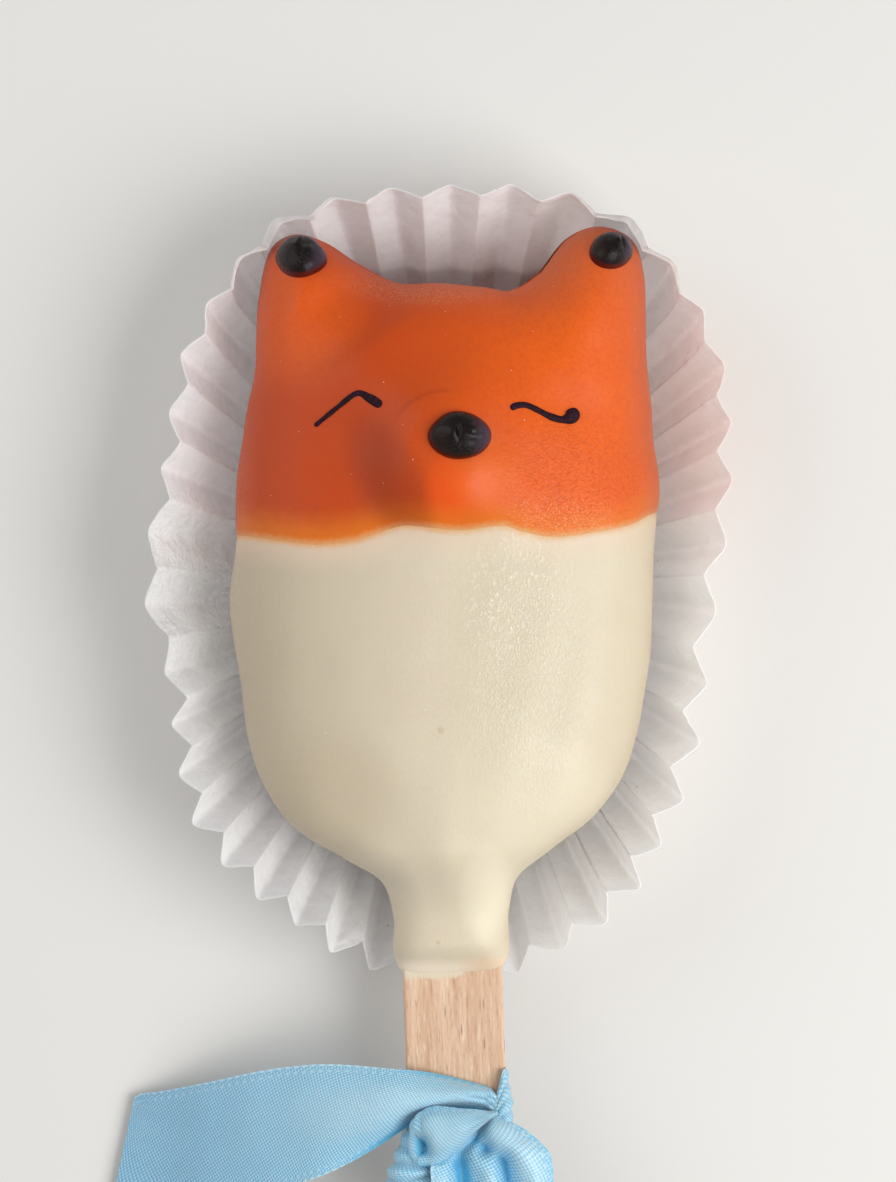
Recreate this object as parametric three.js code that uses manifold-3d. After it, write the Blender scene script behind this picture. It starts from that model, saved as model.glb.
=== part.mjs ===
// Cakesicle with an animal's face, lying on its back in a pleated paper cup, a ribbon tied round its stick.
// Millimetres. +X runs across the face, +Y from the stick to the ears, +Z out of the face.
// The origin is the middle of the cup's floor, on the surface that it rests on.
import * as THREE from "three";
import { mergeVertices } from "three/addons/utils/BufferGeometryUtils.js";
import Module from "manifold-3d";

// Driving dimensions

const fitGap = 0.3; // left between pieces that touch in the real thing

const cake = {
  girthHeight: 9.5, // of the widest line round the cake
  backHeight: 0.6,
  faceHeight: 15.8, // of the face before its crown and relief
  crown: 4.5, // how far its middle stands above that
  crownReach: 20, // how far in from the outline the crown is full
  faceRound: 7.5, // how far in from the outline the face is rounded
  backRound: 8,
  roundPower: 2.2,
  spineTop: 15, // the ends of the line that the rings close on
  spineFoot: -35,
  spineX: 0.4,
  halfSegments: 70,
  faceRings: 10,
  backRings: 6,
};

const neck = {
  shoulderTop: -14, // where the face's rounding begins to narrow
  top: -26, // where the shoulders begin to thin
  foot: -34,
  girthHeight: 9,
  backHeight: 6.1,
  faceHeight: 12.8,
  round: 4,
  crownShare: 0.25,
};

// Towards the ear tips the face falls away, from slopeFrom on, and is rounded and crowned less, from root on.
const ears = { root: 18, slopeFrom: 24, tips: 36, drop: 1.4, round: 4.5, crownShare: 0.4 };

// Outline seen from the front: down the right side from the middle of the head, then up the left one.
const rightSide = [
  [-0.9, 29.9], [3.9, 29.5], [6.6, 29.2], [9.4, 30.9], [12.4, 34.4], [15.6, 35.6], [18.7, 34.3],
  [19.8, 31], [20.1, 22.4], [20.7, 15.2], [21.4, 9.9], [21.1, 4.3], [20.7, -5.8], [20, -11.8],
  [18.4, -18.2], [15.2, -23.1], [10.4, -26.9], [7.2, -29.7], [6.4, -33], [6.35, -37.4], [5.3, -39.1],
];
const footOfNeck = [0.8, -39.6];
const leftSide = [
  [-4.1, -39.3], [-5.2, -37.4], [-5.2, -33.8], [-6.3, -30.2], [-9.9, -27.8], [-13.2, -26],
  [-16.5, -23.1], [-19.3, -17.8], [-20.6, -10.2], [-21.6, -1.6], [-20.9, 4.6], [-20.7, 10],
  [-19.9, 16.2], [-18.9, 21.2], [-18.5, 28.7], [-17.1, 33.7], [-14.9, 34.8], [-12.2, 34],
  [-9, 32], [-5, 30],
];

// Rounded swellings (and a hollow, where rise is negative) of the face.
const relief = [
  { name: "muzzle, left side", at: [-1.3, 11.6], reach: [5.3, 6.4], turn: 0, rise: 1.3 },
  { name: "muzzle", at: [1.6, 12.8], reach: [8.3, 8.4], turn: 0, rise: 1.5 },
  { name: "right cheek", at: [7.5, 10.6], reach: [8, 6], turn: 0, rise: 0.5 },
  { name: "muzzle lobe, right", at: [4.9, 9], reach: [4, 3.6], turn: 0, rise: 0.3 },
  { name: "forehead", at: [-1.6, 23], reach: [10, 8.5], turn: 0, rise: 1.3 },
  { name: "ear root, left", at: [-10.4, 25.8], reach: [8.4, 3.4], turn: 0.7, rise: -0.85 },
  { name: "ear, left", at: [-16.8, 26], reach: [4.2, 7], turn: 0, rise: 0.4 },
];

// Where the orange coat of the head meets the cream coat, from left to right.
const coatLine = [
  [-26, 4.6], [-20.8, 4.7], [-16.3, 4.1], [-12.6, 3.7], [-9.2, 4], [-6.8, 4.7], [-4.1, 5.5],
  [-1.4, 5.3], [1.7, 5.05], [5.5, 5.5], [7.8, 4.9], [11, 4.45], [15.6, 5.1], [18.6, 5.8], [21.2, 7],
  [26, 7.2],
];

const drops = [
  { name: "nose", at: [1.4, 14.2], radii: [3.05, 2.35], height: 2, nib: 0.45, colour: 0x2c1a18 },
  { name: "ear_tip_left", at: [-14.3, 32.1], radii: [2.55, 2.05], height: 1.9, nib: 0.7, colour: 0x2c1a16 },
  { name: "ear_tip_right", at: [16.4, 32.8], radii: [2.15, 1.85], height: 1.7, nib: 0.6, colour: 0x2c1a16 },
];

const eyes = [
  {
    name: "eye_left",
    points: [[-12.7, 15.5], [-10.6, 17], [-8.6, 18.35], [-7.4, 17.8], [-6.2, 17.1]],
    halfWidths: [0.2, 0.26, 0.3, 0.4, 0.46],
  },
  {
    name: "eye_right",
    points: [
      [6.5, 16.9], [6.9, 17.15], [7.85, 17.25], [8.9, 16.85],
      [10.25, 16.2], [11.4, 15.9], [12.3, 16.15], [12.8, 16.8],
    ],
    halfWidths: [0.3, 0.33, 0.3, 0.3, 0.32, 0.4, 0.6, 0.62],
  },
];

const stick = {
  width: 10,
  length: 93,
  thickness: 2,
  midHeight: 9,
  innerEnd: 0.6,
  crossing: [0.79, -39.7], // a point of its middle line, at the foot of the neck
  lean: THREE.MathUtils.degToRad(1.87),
};

const cup = {
  paper: 0.3,
  pleats: 40,
  pointsPerPleat: 4,
  wallHeight: 13,
  lowHeight: 5.3, // of the rim where the neck lies over it
  lowMiddle: 0.9,
  lowHalfWidth: 7.5,
  lowFade: 6,
  bow: 0.8, // below 1 the wall bulges outwards between floor and rim
  pleatAtFloor: 0.25,
  pleatDepth: 0.87, // half the distance from valley to peak, at the rim
  pleatDepthDrop: 0.3, // shallower at the ears and deeper by the stick
  rings: [0, 0.2, 0.45, 0.72, 1], // as shares of the wall's height
};
// The rim's mean distance from the middle, every 22.5 degrees anticlockwise from the right, and how many
// pleats the count there runs ahead of an even spacing: the cup is hand-folded paper, pushed out of shape.
const rimReach = [
  26.5, 30.1, 36.4, 39.8, 38.9, 38.8, 34.8, 29.6, 29.2, 28.7, 33.7, 36.3, 40.4, 36.9, 31.4, 27.1,
];
const pleatsAhead = [
  -0.6, -1.3, -1.2, -1, -0.9, -0.7, -0.4, -0.5, -1.3, -2.1, -1.9, -1.4, -0.4, 0.2, 0.8, 0.4,
];
const floor = { right: 20, left: 19.6, up: 32.3, down: 29.6, fullUp: 4.2, fullDown: 2.4 };
// The ears press the wall outwards: directions and spreads in degrees.
const earPress = [
  { direction: 62, spread: 16, push: 3 },
  { direction: 114, spread: 16, push: 2.8 },
];

const ribbon = {
  thickness: 0.45,
  acrossSegments: 4,
  stepsPerStation: 2,
};
// Each strand's stations: middle, direction across, width, and how proud the middle stands of the edges.
const strands = [
  {
    name: "left tail, over the stick and down into the knot at its right edge",
    stations: [
      { at: [-33.4, -59.5, 0.8], across: [-0.21, -0.98, 0], width: 13.1, crown: 0 },
      { at: [-28.9, -58.4, 1.6], across: [0.18, -0.98, 0.05], width: 12, crown: 0.2 },
      { at: [-23.8, -57.2, 3.8], across: [0.2, -0.97, 0.06], width: 12, crown: 0.4 },
      { at: [-17.6, -55.5, 6.6], across: [0.15, -0.98, 0.06], width: 12, crown: 0.6 },
      { at: [-12.8, -54.2, 8.8], across: [0.05, -0.99, 0.04], width: 11.2, crown: 0.9 },
      { at: [-9.4, -53.3, 10.1], across: [0, -1, 0], width: 9.6, crown: 1.2 },
      { at: [-5.7, -52.3, 11.2], across: [-0.05, -0.99, -0.05], width: 7.2, crown: 1.2 },
      { at: [-2.6, -51.6, 11.4], across: [0.05, -0.99, -0.1], width: 5.2, crown: 0.9 },
      { at: [1.4, -51.6, 11.2], across: [0.1, -0.99, 0], width: 3.6, crown: 0.6 },
      { at: [3.6, -51.9, 11], across: [0, -1, 0], width: 2.9, crown: 0.4 },
      { at: [4.6, -52.2, 10.9], across: [-0.2, -0.98, 0], width: 2.4, crown: 0.2 },
      { at: [5.1, -52.9, 10.6], across: [-0.6, -0.8, 0], width: 1.8, crown: 0.1 },
      { at: [5.2, -53.7, 10.3], across: [-0.95, -0.3, 0], width: 1.2, crown: 0 },
    ],
  },
  {
    name: "out of the knot, round the stick's right edge, behind it and up at its left edge",
    stations: [
      { at: [4.8, -53.6, 10.7], across: [0.3, -0.95, 0], width: 1.2, crown: 0.1 },
      { at: [5.45, -52.8, 10.9], across: [0.12, -0.99, 0], width: 3.2, crown: 0.1 },
      { at: [6.1, -51.8, 10.8], across: [0.06, -1, 0], width: 5.5, crown: 0.2 },
      { at: [6.35, -51.6, 9.9], across: [0.1, -0.99, 0], width: 5.6, crown: 0.2 },
      { at: [6.3, -51.7, 8.5], across: [0.15, -0.99, 0], width: 5.6, crown: 0.2 },
      { at: [5, -52.7, 7.1], across: [0.4, -0.92, 0], width: 5.8, crown: 0.2 },
      { at: [1, -55, 6.9], across: [0.44, -0.9, 0], width: 6, crown: 0.2 },
      { at: [-3, -57.4, 7.1], across: [0, -1, 0], width: 6.6, crown: 0.2 },
      { at: [-4.7, -58.3, 8.2], across: [-0.28, -0.96, 0], width: 7, crown: 0.2 },
      { at: [-4.8, -58.4, 9.9], across: [-0.28, -0.96, 0], width: 7, crown: 0.3 },
      { at: [-4, -58.3, 11], across: [-0.25, -0.97, 0], width: 6.6, crown: 0.3 },
      { at: [-2.4, -58.4, 11.2], across: [-0.1, -1, 0], width: 4.8, crown: 0.2 },
      { at: [-0.4, -58.2, 10.8], across: [0.1, -0.99, 0], width: 3.6, crown: 0 },
    ],
  },
  {
    name: "petal of the knot: curls up at its left end and runs to a point at the right",
    stations: [
      { at: [-1.2, -55.6, 10.8], across: [0, -1, 0], width: 2.4, crown: 0 },
      { at: [-2.7, -55.7, 11.1], across: [0, -1, 0], width: 3.2, crown: 0 },
      { at: [-3.4, -55.7, 12.2], across: [0.02, -1, 0], width: 3.8, crown: 0 },
      { at: [-2.9, -55.6, 12.8], across: [0.02, -1, 0], width: 4.6, crown: 0 },
      { at: [-2.2, -55.5, 12.6], across: [0.03, -1, 0], width: 5.4, crown: 0.4 },
      { at: [-1.1, -55.25, 12.7], across: [0.03, -1, 0], width: 5.9, crown: 0.9 },
      { at: [0.2, -54.9, 12.9], across: [0, -1, 0], width: 5.1, crown: 1 },
      { at: [1.5, -54.35, 13], across: [0, -1, 0], width: 3.7, crown: 0.8 },
      { at: [3, -53.65, 12.7], across: [0, -1, 0], width: 2.1, crown: 0.5 },
      { at: [4.3, -53.25, 12.1], across: [0, -1, 0], width: 0.9, crown: 0.2 },
      { at: [5.1, -53.1, 11.3], across: [0, -1, 0], width: 0.5, crown: 0 },
    ],
  },
  {
    name: "second tail: out of the knot, folded over the stick, and down at the right",
    stations: [
      { at: [4.9, -53.5, 10.9], across: [-0.9, -0.44, 0], width: 1.4, crown: 0.1 },
      { at: [4.2, -54.3, 11.1], across: [-0.94, -0.34, 0], width: 3.4, crown: 0.4 },
      { at: [3.9, -55.4, 11.3], across: [-0.955, -0.3, 0], width: 6.9, crown: 0.6 },
      { at: [4.1, -56.6, 11.4], across: [-0.98, -0.19, 0], width: 10, crown: 0.6 },
      { at: [4.45, -57.7, 11.6], across: [-0.99, -0.12, 0], width: 11.8, crown: 0.5 },
      { at: [4.68, -59.2, 11.6], across: [-1, -0.07, 0], width: 12.1, crown: 0.5 },
      { at: [4.7, -60.9, 11.6], across: [-1, -0.02, 0], width: 12.1, crown: 0.4 },
      { at: [5, -63.4, 11.4], across: [-0.99, -0.06, 0.05], width: 12, crown: 0.4 },
      { at: [6.3, -67.2, 10.8], across: [-0.94, -0.26, 0.2], width: 12, crown: 0.4 },
      { at: [9.2, -71.8, 9.2], across: [-0.83, -0.35, 0.45], width: 12, crown: 0.3 },
      { at: [13.2, -77.2, 5.2], across: [-0.78, -0.5, 0.36], width: 12, crown: 0.3 },
      { at: [17, -82, 1.9], across: [-0.78, -0.62, 0.08], width: 12, crown: 0.2 },
      { at: [19.6, -85.4, 0.8], across: [-0.78, -0.62, 0.02], width: 12, crown: 0 },
    ],
  },
];

const finishes = {
  cream: { color: 0xe9dcbf, roughness: 0.42, metalness: 0 },
  orange: { color: 0xe2581c, roughness: 0.42, metalness: 0 },
  chocolate: { roughness: 0.38, metalness: 0 },
  ink: { color: 0x24110f, roughness: 0.5, metalness: 0 },
  wood: { color: 0xdebd9c, roughness: 0.7, metalness: 0 },
  paper: { color: 0xe6e2e0, roughness: 0.85, metalness: 0 },
  satin: { color: 0x8fc7e8, roughness: 0.35, metalness: 0 },
};

// Solids and meshes

const wasm = await Module();
wasm.setup();

const { clamp, lerp, smoothstep } = THREE.MathUtils;

// Triangles between rings of equal length, closed round; a ring collapsed to one place acts as a pole.
function ringSurface(rings) {
  const perRing = rings[0].length;
  const indices = [];
  for (let r = 0; r + 1 < rings.length; r++)
    for (let i = 0; i < perRing; i++) {
      const j = (i + 1) % perRing;
      const [a, b] = [r * perRing + i, r * perRing + j];
      const [c, d] = [a + perRing, b + perRing];
      indices.push(a, b, d, a, d, c);
    }
  return indexedGeometry(rings.flat(), indices);
}

function indexedGeometry(points, indices) {
  const geometry = new THREE.BufferGeometry();
  geometry.setAttribute("position", new THREE.Float32BufferAttribute(points.flat(), 3));
  geometry.setIndex(indices);
  return geometry;
}

// The solid that a closed geometry bounds. Triangles that its merged vertices collapse are dropped.
function solidOf(geometry) {
  const bare = geometry.index ? geometry.toNonIndexed() : geometry.clone();
  bare.deleteAttribute("normal");
  bare.deleteAttribute("uv");
  const merged = mergeVertices(bare, 1e-3);
  const index = merged.index.array;
  const kept = [];
  for (let i = 0; i < index.length; i += 3) {
    const [a, b, c] = index.slice(i, i + 3);
    if (a !== b && b !== c && c !== a) kept.push(a, b, c);
  }
  const vertProperties = new Float32Array(merged.attributes.position.array);
  return new wasm.Manifold(new wasm.Mesh({ numProp: 3, vertProperties, triVerts: new Uint32Array(kept) }));
}

function geometryOf(solid) {
  const { vertProperties, triVerts, numProp } = solid.getMesh();
  const geometry = new THREE.BufferGeometry();
  const positions = new Float32Array((vertProperties.length / numProp) * 3);
  for (let i = 0; i < positions.length / 3; i++)
    positions.set(vertProperties.subarray(i * numProp, i * numProp + 3), i * 3);
  geometry.setAttribute("position", new THREE.BufferAttribute(positions, 3));
  geometry.setIndex(new THREE.BufferAttribute(new Uint32Array(triVerts), 1));
  geometry.computeVertexNormals();
  return geometry;
}

function namedMesh(name, solid, finish) {
  const mesh = new THREE.Mesh(geometryOf(solid), new THREE.MeshStandardMaterial(finish));
  mesh.name = name;
  return mesh;
}

// Cake: the outline and the heights of its face and back

const outlinePoints = [...rightSide, footOfNeck, ...leftSide];
const outlineCurve = new THREE.CatmullRomCurve3(
  outlinePoints.map(([x, y]) => new THREE.Vector3(x, y, 0)),
  true,
  "centripetal",
);
const footParameter = rightSide.length / outlinePoints.length;

// Evenly spaced points of the outline between two of its parameters.
function outlineStretch(from, to, segments) {
  const fine = 600;
  const pointAt = (share) => outlineCurve.getPoint(lerp(from, to, share) % 1);
  const points = Array.from({ length: fine + 1 }, (_, i) => pointAt(i / fine));
  const lengths = [0];
  for (let i = 1; i <= fine; i++) lengths.push(lengths[i - 1] + points[i].distanceTo(points[i - 1]));
  const even = [];
  for (let s = 0, i = 0; s <= segments; s++) {
    const wanted = (s / segments) * lengths[fine];
    while (i < fine - 1 && lengths[i + 1] < wanted) i++;
    const share = clamp((wanted - lengths[i]) / (lengths[i + 1] - lengths[i]), 0, 1);
    even.push(points[i].clone().lerp(points[i + 1], share));
  }
  return even;
}

const rightEdge = outlineStretch(0, footParameter, cake.halfSegments);
const leftEdge = outlineStretch(1, footParameter, cake.halfSegments);
const edgeLoop = [...rightEdge, ...leftEdge.slice(1, -1).reverse()];
const edgeStep = edgeLoop.map((p, i) => p.distanceTo(edgeLoop[(i + 1) % edgeLoop.length]));

// Soft distance from the outline: a power mean of the distances to all of it, so that it has no creases.
// distancePower sets how closely it follows the nearest point, and straightShare makes it exact beside a
// straight edge: it is the integral of (1 + s^2)^(-distancePower / 2) over all s.
const distancePower = 8;
const straightShare = (5 * Math.PI) / 16;
function softDistance(x, y) {
  let sum = 0;
  edgeLoop.forEach((p, i) => {
    const squared = Math.max((p.x - x) ** 2 + (p.y - y) ** 2, 1e-6);
    sum += edgeStep[i] / squared ** (distancePower / 2);
  });
  return (sum / straightShare) ** (-1 / (distancePower - 1));
}

// Rounded edge: rises steeply from 0 at the outline to 1 at the given distance in.
function roundedEdge(distance, round) {
  const share = clamp(distance / round, 0, 1);
  return (1 - (1 - share) ** cake.roundPower) ** (1 / cake.roundPower);
}

function reliefAt(x, y) {
  return relief.reduce((total, { at, reach, turn, rise }) => {
    const [dx, dy] = [x - at[0], y - at[1]];
    const along = (dx * Math.cos(turn) + dy * Math.sin(turn)) / reach[0];
    const across = (dy * Math.cos(turn) - dx * Math.sin(turn)) / reach[1];
    return total + rise * Math.exp(-((along ** 2 + across ** 2) ** 2));
  }, 0);
}

const neckShare = (y) => 1 - smoothstep(y, neck.foot, neck.top);
const girthAt = (y) => lerp(cake.girthHeight, neck.girthHeight, neckShare(y));

function faceAt(x, y, distance = softDistance(x, y)) {
  const [share, earShare] = [neckShare(y), smoothstep(y, ears.root, ears.tips)];
  const shoulder = 1 - smoothstep(y, neck.top, neck.shoulderTop);
  const round = lerp(cake.faceRound, neck.round, shoulder) - (cake.faceRound - ears.round) * earShare;
  const drop = ears.drop * smoothstep(y, ears.slopeFrom, ears.tips);
  const flat = lerp(cake.faceHeight, neck.faceHeight, share) - drop;
  const crown = cake.crown * lerp(1, neck.crownShare, share) * lerp(1, ears.crownShare, earShare);
  const crowned = 1 - (1 - clamp(distance / cake.crownReach, 0, 1)) ** 2;
  const edge = roundedEdge(distance, round);
  return girthAt(y) + (flat - girthAt(y) + reliefAt(x, y)) * edge + crown * crowned;
}

function backAt(y, distance) {
  const share = neckShare(y);
  const round = lerp(cake.backRound, neck.round, share);
  const flat = lerp(cake.backHeight, neck.backHeight, share);
  return girthAt(y) - (girthAt(y) - flat) * roundedEdge(distance, round);
}

// Rings run from the spine on the back, out to the girth and in again over the face to the spine.
function wholeCake() {
  const last = cake.halfSegments;
  const spineOf = edgeLoop.map((_, i) => {
    const station = i <= last ? i : 2 * last - i;
    const middle = (rightEdge[station].y + leftEdge[station].y) / 2;
    return new THREE.Vector3(cake.spineX, clamp(middle, cake.spineFoot, cake.spineTop), 0);
  });
  const ring = (inset, height) =>
    edgeLoop.map((edge, i) => {
      const { x, y } = edge.clone().lerp(spineOf[i], inset);
      return [x, y, height(x, y, inset > 0 ? softDistance(x, y) : 0)];
    });
  const rings = [];
  for (let k = cake.backRings; k >= 1; k--)
    rings.push(ring((k / cake.backRings) ** 2, (x, y, distance) => backAt(y, distance)));
  for (let k = 0; k <= cake.faceRings; k++) rings.push(ring((k / cake.faceRings) ** 2, faceAt));
  return solidOf(ringSurface(rings.map((points) => points.reverse())));
}

// A tall block over everything above the coat line, moved up or down by the given distance.
function blockAboveCoatLine(shift) {
  const line = new THREE.SplineCurve(coatLine.map(([x, y]) => new THREE.Vector2(x, y + shift)));
  const shape = new THREE.Shape(line.getPoints(3 * coatLine.length));
  const [farTop, depth] = [60, 40];
  shape.lineTo(coatLine.at(-1)[0], farTop);
  shape.lineTo(coatLine[0][0], farTop);
  const geometry = new THREE.ExtrudeGeometry(shape, { depth, bevelEnabled: false });
  return solidOf(geometry.translate(0, 0, -depth / 4));
}

// Stick: a flat strip with round ends; grown is the clearance that its slot has on every side.
function stickSolid(grown) {
  const half = stick.width / 2 + grown;
  const shape = new THREE.Shape();
  const run = stick.length - stick.width;
  shape.absarc(0, 0, half, 0, Math.PI, false);
  shape.absarc(0, -run, half, Math.PI, 2 * Math.PI, false);
  const depth = stick.thickness + 2 * grown;
  const geometry = new THREE.ExtrudeGeometry(shape, { depth, bevelEnabled: false, curveSegments: 16 });
  const across = stick.innerEnd - stick.width / 2 - stick.crossing[1];
  geometry.translate(0, across, stick.midHeight - depth / 2);
  geometry.rotateZ(stick.lean);
  return solidOf(geometry.translate(stick.crossing[0], stick.crossing[1], 0));
}

// Sits a solid on the face: what lies within the fit gap of the face is cut away.
function laidOnFace(solid, cakeSolid, normal) {
  const raised = cakeSolid.translate(normal.x * fitGap, normal.y * fitGap, normal.z * fitGap);
  return solid.subtract(raised);
}

function faceNormal(x, y) {
  const step = 0.4;
  const slopeX = (faceAt(x + step, y) - faceAt(x - step, y)) / (2 * step);
  const slopeY = (faceAt(x, y + step) - faceAt(x, y - step)) / (2 * step);
  return new THREE.Vector3(-slopeX, -slopeY, 1).normalize();
}

// Chocolate drop: a low dome drawn up to a small nib, turned to stand on the face.
function dropSolid({ at, radii, height, nib }, cakeSolid) {
  const sunk = 1.6;
  const profile = [
    [0, -sunk], [0.9, -sunk], [1, 0.1], [0.97, 0.36], [0.84, 0.66], [0.6, 0.88], [0.32, 0.98], [0.14, 1.04],
  ].map(([r, h]) => new THREE.Vector2(r, h < 0 ? h : h * height));
  profile.push(new THREE.Vector2(0.06, height + nib), new THREE.Vector2(0, height + nib));
  const geometry = new THREE.LatheGeometry(profile, 24);
  geometry.rotateX(Math.PI / 2);
  geometry.scale(radii[0], radii[1], 1);
  const normal = faceNormal(...at);
  const turn = new THREE.Quaternion().setFromUnitVectors(new THREE.Vector3(0, 0, 1), normal);
  geometry.applyQuaternion(turn).translate(at[0], at[1], faceAt(...at));
  return laidOnFace(solidOf(geometry), cakeSolid, normal);
}

// Piped line: a tube of changing radius that follows the face, pointed at both ends.
function pipedLine({ points, halfWidths }, cakeSolid) {
  const curve = new THREE.SplineCurve(points.map(([x, y]) => new THREE.Vector2(x, y)));
  const widths = new THREE.SplineCurve(halfWidths.map((w, i) => new THREE.Vector2(i, w)));
  const [steps, sides, lift] = [20, 8, 0.35];
  const rings = [];
  for (let s = 0; s <= steps; s++) {
    const share = s / steps;
    const middle = curve.getPoint(share);
    const tangent = curve.getTangent(share);
    const radius = widths.getPoint(share).y * Math.min(1, 0.35 + 4 * Math.min(share, 1 - share));
    const height = faceAt(middle.x, middle.y) + lift;
    rings.push(
      Array.from({ length: sides }, (_, k) => {
        const angle = (2 * Math.PI * k) / sides;
        const [aside, up] = [radius * Math.cos(angle), radius * Math.sin(angle)];
        return [middle.x - tangent.y * aside, middle.y + tangent.x * aside, height + up];
      }),
    );
  }
  const middleOf = (ring) => {
    const sum = ring.reduce(([x, y, z], p) => [x + p[0], y + p[1], z + p[2]], [0, 0, 0]);
    return ring.map(() => sum.map((v) => v / ring.length));
  };
  const closed = [middleOf(rings[0]), ...rings, middleOf(rings[steps])];
  const [midX, midY] = points[Math.floor(points.length / 2)];
  return laidOnFace(solidOf(ringSurface(closed)), cakeSolid, faceNormal(midX, midY));
}

// Paper cup

// The value in a direction, from values evenly spaced round the circle: a closed Catmull-Rom curve.
function around(values, direction) {
  const place = THREE.MathUtils.euclideanModulo((direction / (2 * Math.PI)) * values.length, values.length);
  const [whole, share] = [Math.floor(place), place % 1];
  const [a, b, c, d] = [-1, 0, 1, 2].map((k) => values[(whole + k + values.length) % values.length]);
  const [slopeB, slopeC] = [(c - a) / 2, (d - b) / 2];
  const bend = 3 * (c - b) - 2 * slopeB - slopeC;
  return b + share * (slopeB + share * (bend + share * (slopeB + slopeC - 2 * (c - b))));
}

function rimPoint(direction) {
  const reach = around(rimReach, direction);
  return new THREE.Vector2(reach * Math.cos(direction), reach * Math.sin(direction));
}

// The floor's edge: four quarters of a superellipse, fuller towards the ears.
function floorPoint(direction) {
  const [c, s] = [Math.cos(direction), Math.sin(direction)];
  const [side, end] = [c > 0 ? floor.right : floor.left, s > 0 ? floor.up : floor.down];
  const full = lerp(floor.fullDown, floor.fullUp, smoothstep(s, -0.3, 0.3));
  const reach = (Math.abs(c / side) ** full + Math.abs(s / end) ** full) ** (-1 / full);
  return new THREE.Vector2(reach * c, reach * s);
}

// Direction of the pleat line with the given number, counted in pleats.
function pleatDirection(number) {
  const onePleat = (2 * Math.PI) / cup.pleats;
  let direction = number * onePleat;
  for (let i = 0; i < 30; i++) direction = (number - around(pleatsAhead, direction)) * onePleat;
  return direction;
}

function rimHeight(x, y) {
  if (y > 0) return cup.wallHeight;
  const beside = Math.abs(x - cup.lowMiddle) - cup.lowHalfWidth;
  return lerp(cup.lowHeight, cup.wallHeight, smoothstep(beside, 0, cup.lowFade));
}

function paperCup() {
  const columns = cup.pleats * cup.pointsPerPleat;
  const lines = Array.from({ length: columns }, (_, i) => {
    const number = i / cup.pointsPerPleat;
    const direction = pleatDirection(number);
    const [top, base, next] = [rimPoint(direction), floorPoint(direction), rimPoint(direction + 0.05)];
    const outward = new THREE.Vector2(next.y - top.y, top.x - next.x).normalize();
    const wave = Math.cos(2 * Math.PI * number);
    const depth = cup.pleatDepth - cup.pleatDepthDrop * Math.sin(direction);
    const pressed = earPress.reduce((sum, ear) => {
      const away = (THREE.MathUtils.radToDeg(direction) - ear.direction) / ear.spread;
      return sum + ear.push * Math.exp(-away * away);
    }, 0);
    return { top, base, outward, wave, depth, pressed, height: rimHeight(top.x, top.y) };
  });
  const at = ({ top, base, outward, wave, depth, pressed, height }, v, face) => {
    const middle = base.clone().lerp(top, v ** cup.bow);
    const aside = wave * lerp(cup.pleatAtFloor, depth, v) + pressed * 4 * v * (1 - v);
    const rise = height / (height + top.distanceTo(base));
    const inward = face * cup.paper * (v > 0 ? rise : 0);
    const upward = face * cup.paper * (v > 0 ? 1 - rise * rise : 1);
    const place = middle.addScaledVector(outward, aside - inward);
    return [place.x, place.y, height * v + upward];
  };
  const ring = (v, face) => lines.map((line) => at(line, v, face));
  const pole = (z) => lines.map(() => [0, 0, z]);
  const outside = cup.rings.map((v) => ring(v, 0));
  const inside = cup.rings.map((v) => ring(v, 1)).reverse();
  return solidOf(ringSurface([pole(0), ...outside, ...inside, pole(cup.paper)]));
}

// Ribbon

// One strand: a thin band through its stations, arched across by the crown.
function strandSolid(stations) {
  const through = (pick) => new THREE.CatmullRomCurve3(stations.map((s) => new THREE.Vector3(...pick(s))));
  const [middles, acrosses] = [through((s) => s.at), through((s) => s.across)];
  const sizes = through((s) => [s.width, s.crown, 0]);
  const steps = (stations.length - 1) * ribbon.stepsPerStation;
  const sections = [];
  for (let i = 0; i <= steps; i++) {
    const share = i / steps;
    const middle = middles.getPoint(share);
    const tangent = middles.getTangent(share);
    const across = acrosses.getPoint(share);
    across.normalize();
    const normal = across.clone().cross(tangent).normalize();
    const { x: width, y: crown } = sizes.getPoint(share);
    const row = (side) =>
      Array.from({ length: ribbon.acrossSegments + 1 }, (_, k) => {
        const offset = (2 * k) / ribbon.acrossSegments - 1;
        const proud = crown * (1 - offset * offset) + (side * ribbon.thickness) / 2;
        const place = middle.clone().addScaledVector(across, (offset * width) / 2);
        return place.addScaledVector(normal, proud).toArray();
      });
    sections.push([...row(1), ...row(-1).reverse()]);
  }
  const perSection = sections[0].length;
  const indices = [];
  for (let s = 0; s < steps; s++)
    for (let k = 0; k < perSection; k++) {
      const [a, b] = [s * perSection + k, s * perSection + ((k + 1) % perSection)];
      indices.push(a, b, b + perSection, a, b + perSection, a + perSection);
    }
  for (let k = 0; k < ribbon.acrossSegments; k++) {
    const [a, b, c, d] = [k, k + 1, perSection - 2 - k, perSection - 1 - k];
    const end = steps * perSection;
    indices.push(a, c, b, a, d, c);
    indices.push(end + a, end + b, end + c, end + a, end + c, end + d);
  }
  return solidOf(indexedGeometry(sections.flat(), indices));
}

function ribbonSolid() {
  const [first, ...others] = strands.map(({ stations }) => strandSolid(stations));
  const knotted = others.reduce((joined, strand) => joined.add(strand), first);
  return knotted.subtract(stickSolid(fitGap));
}

// Assembly

const cakeSolid = wholeCake();
const headSolid = cakeSolid.intersect(blockAboveCoatLine(fitGap / 2));
const bodySolid = cakeSolid.subtract(blockAboveCoatLine(-fitGap / 2)).subtract(stickSolid(fitGap));

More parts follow.
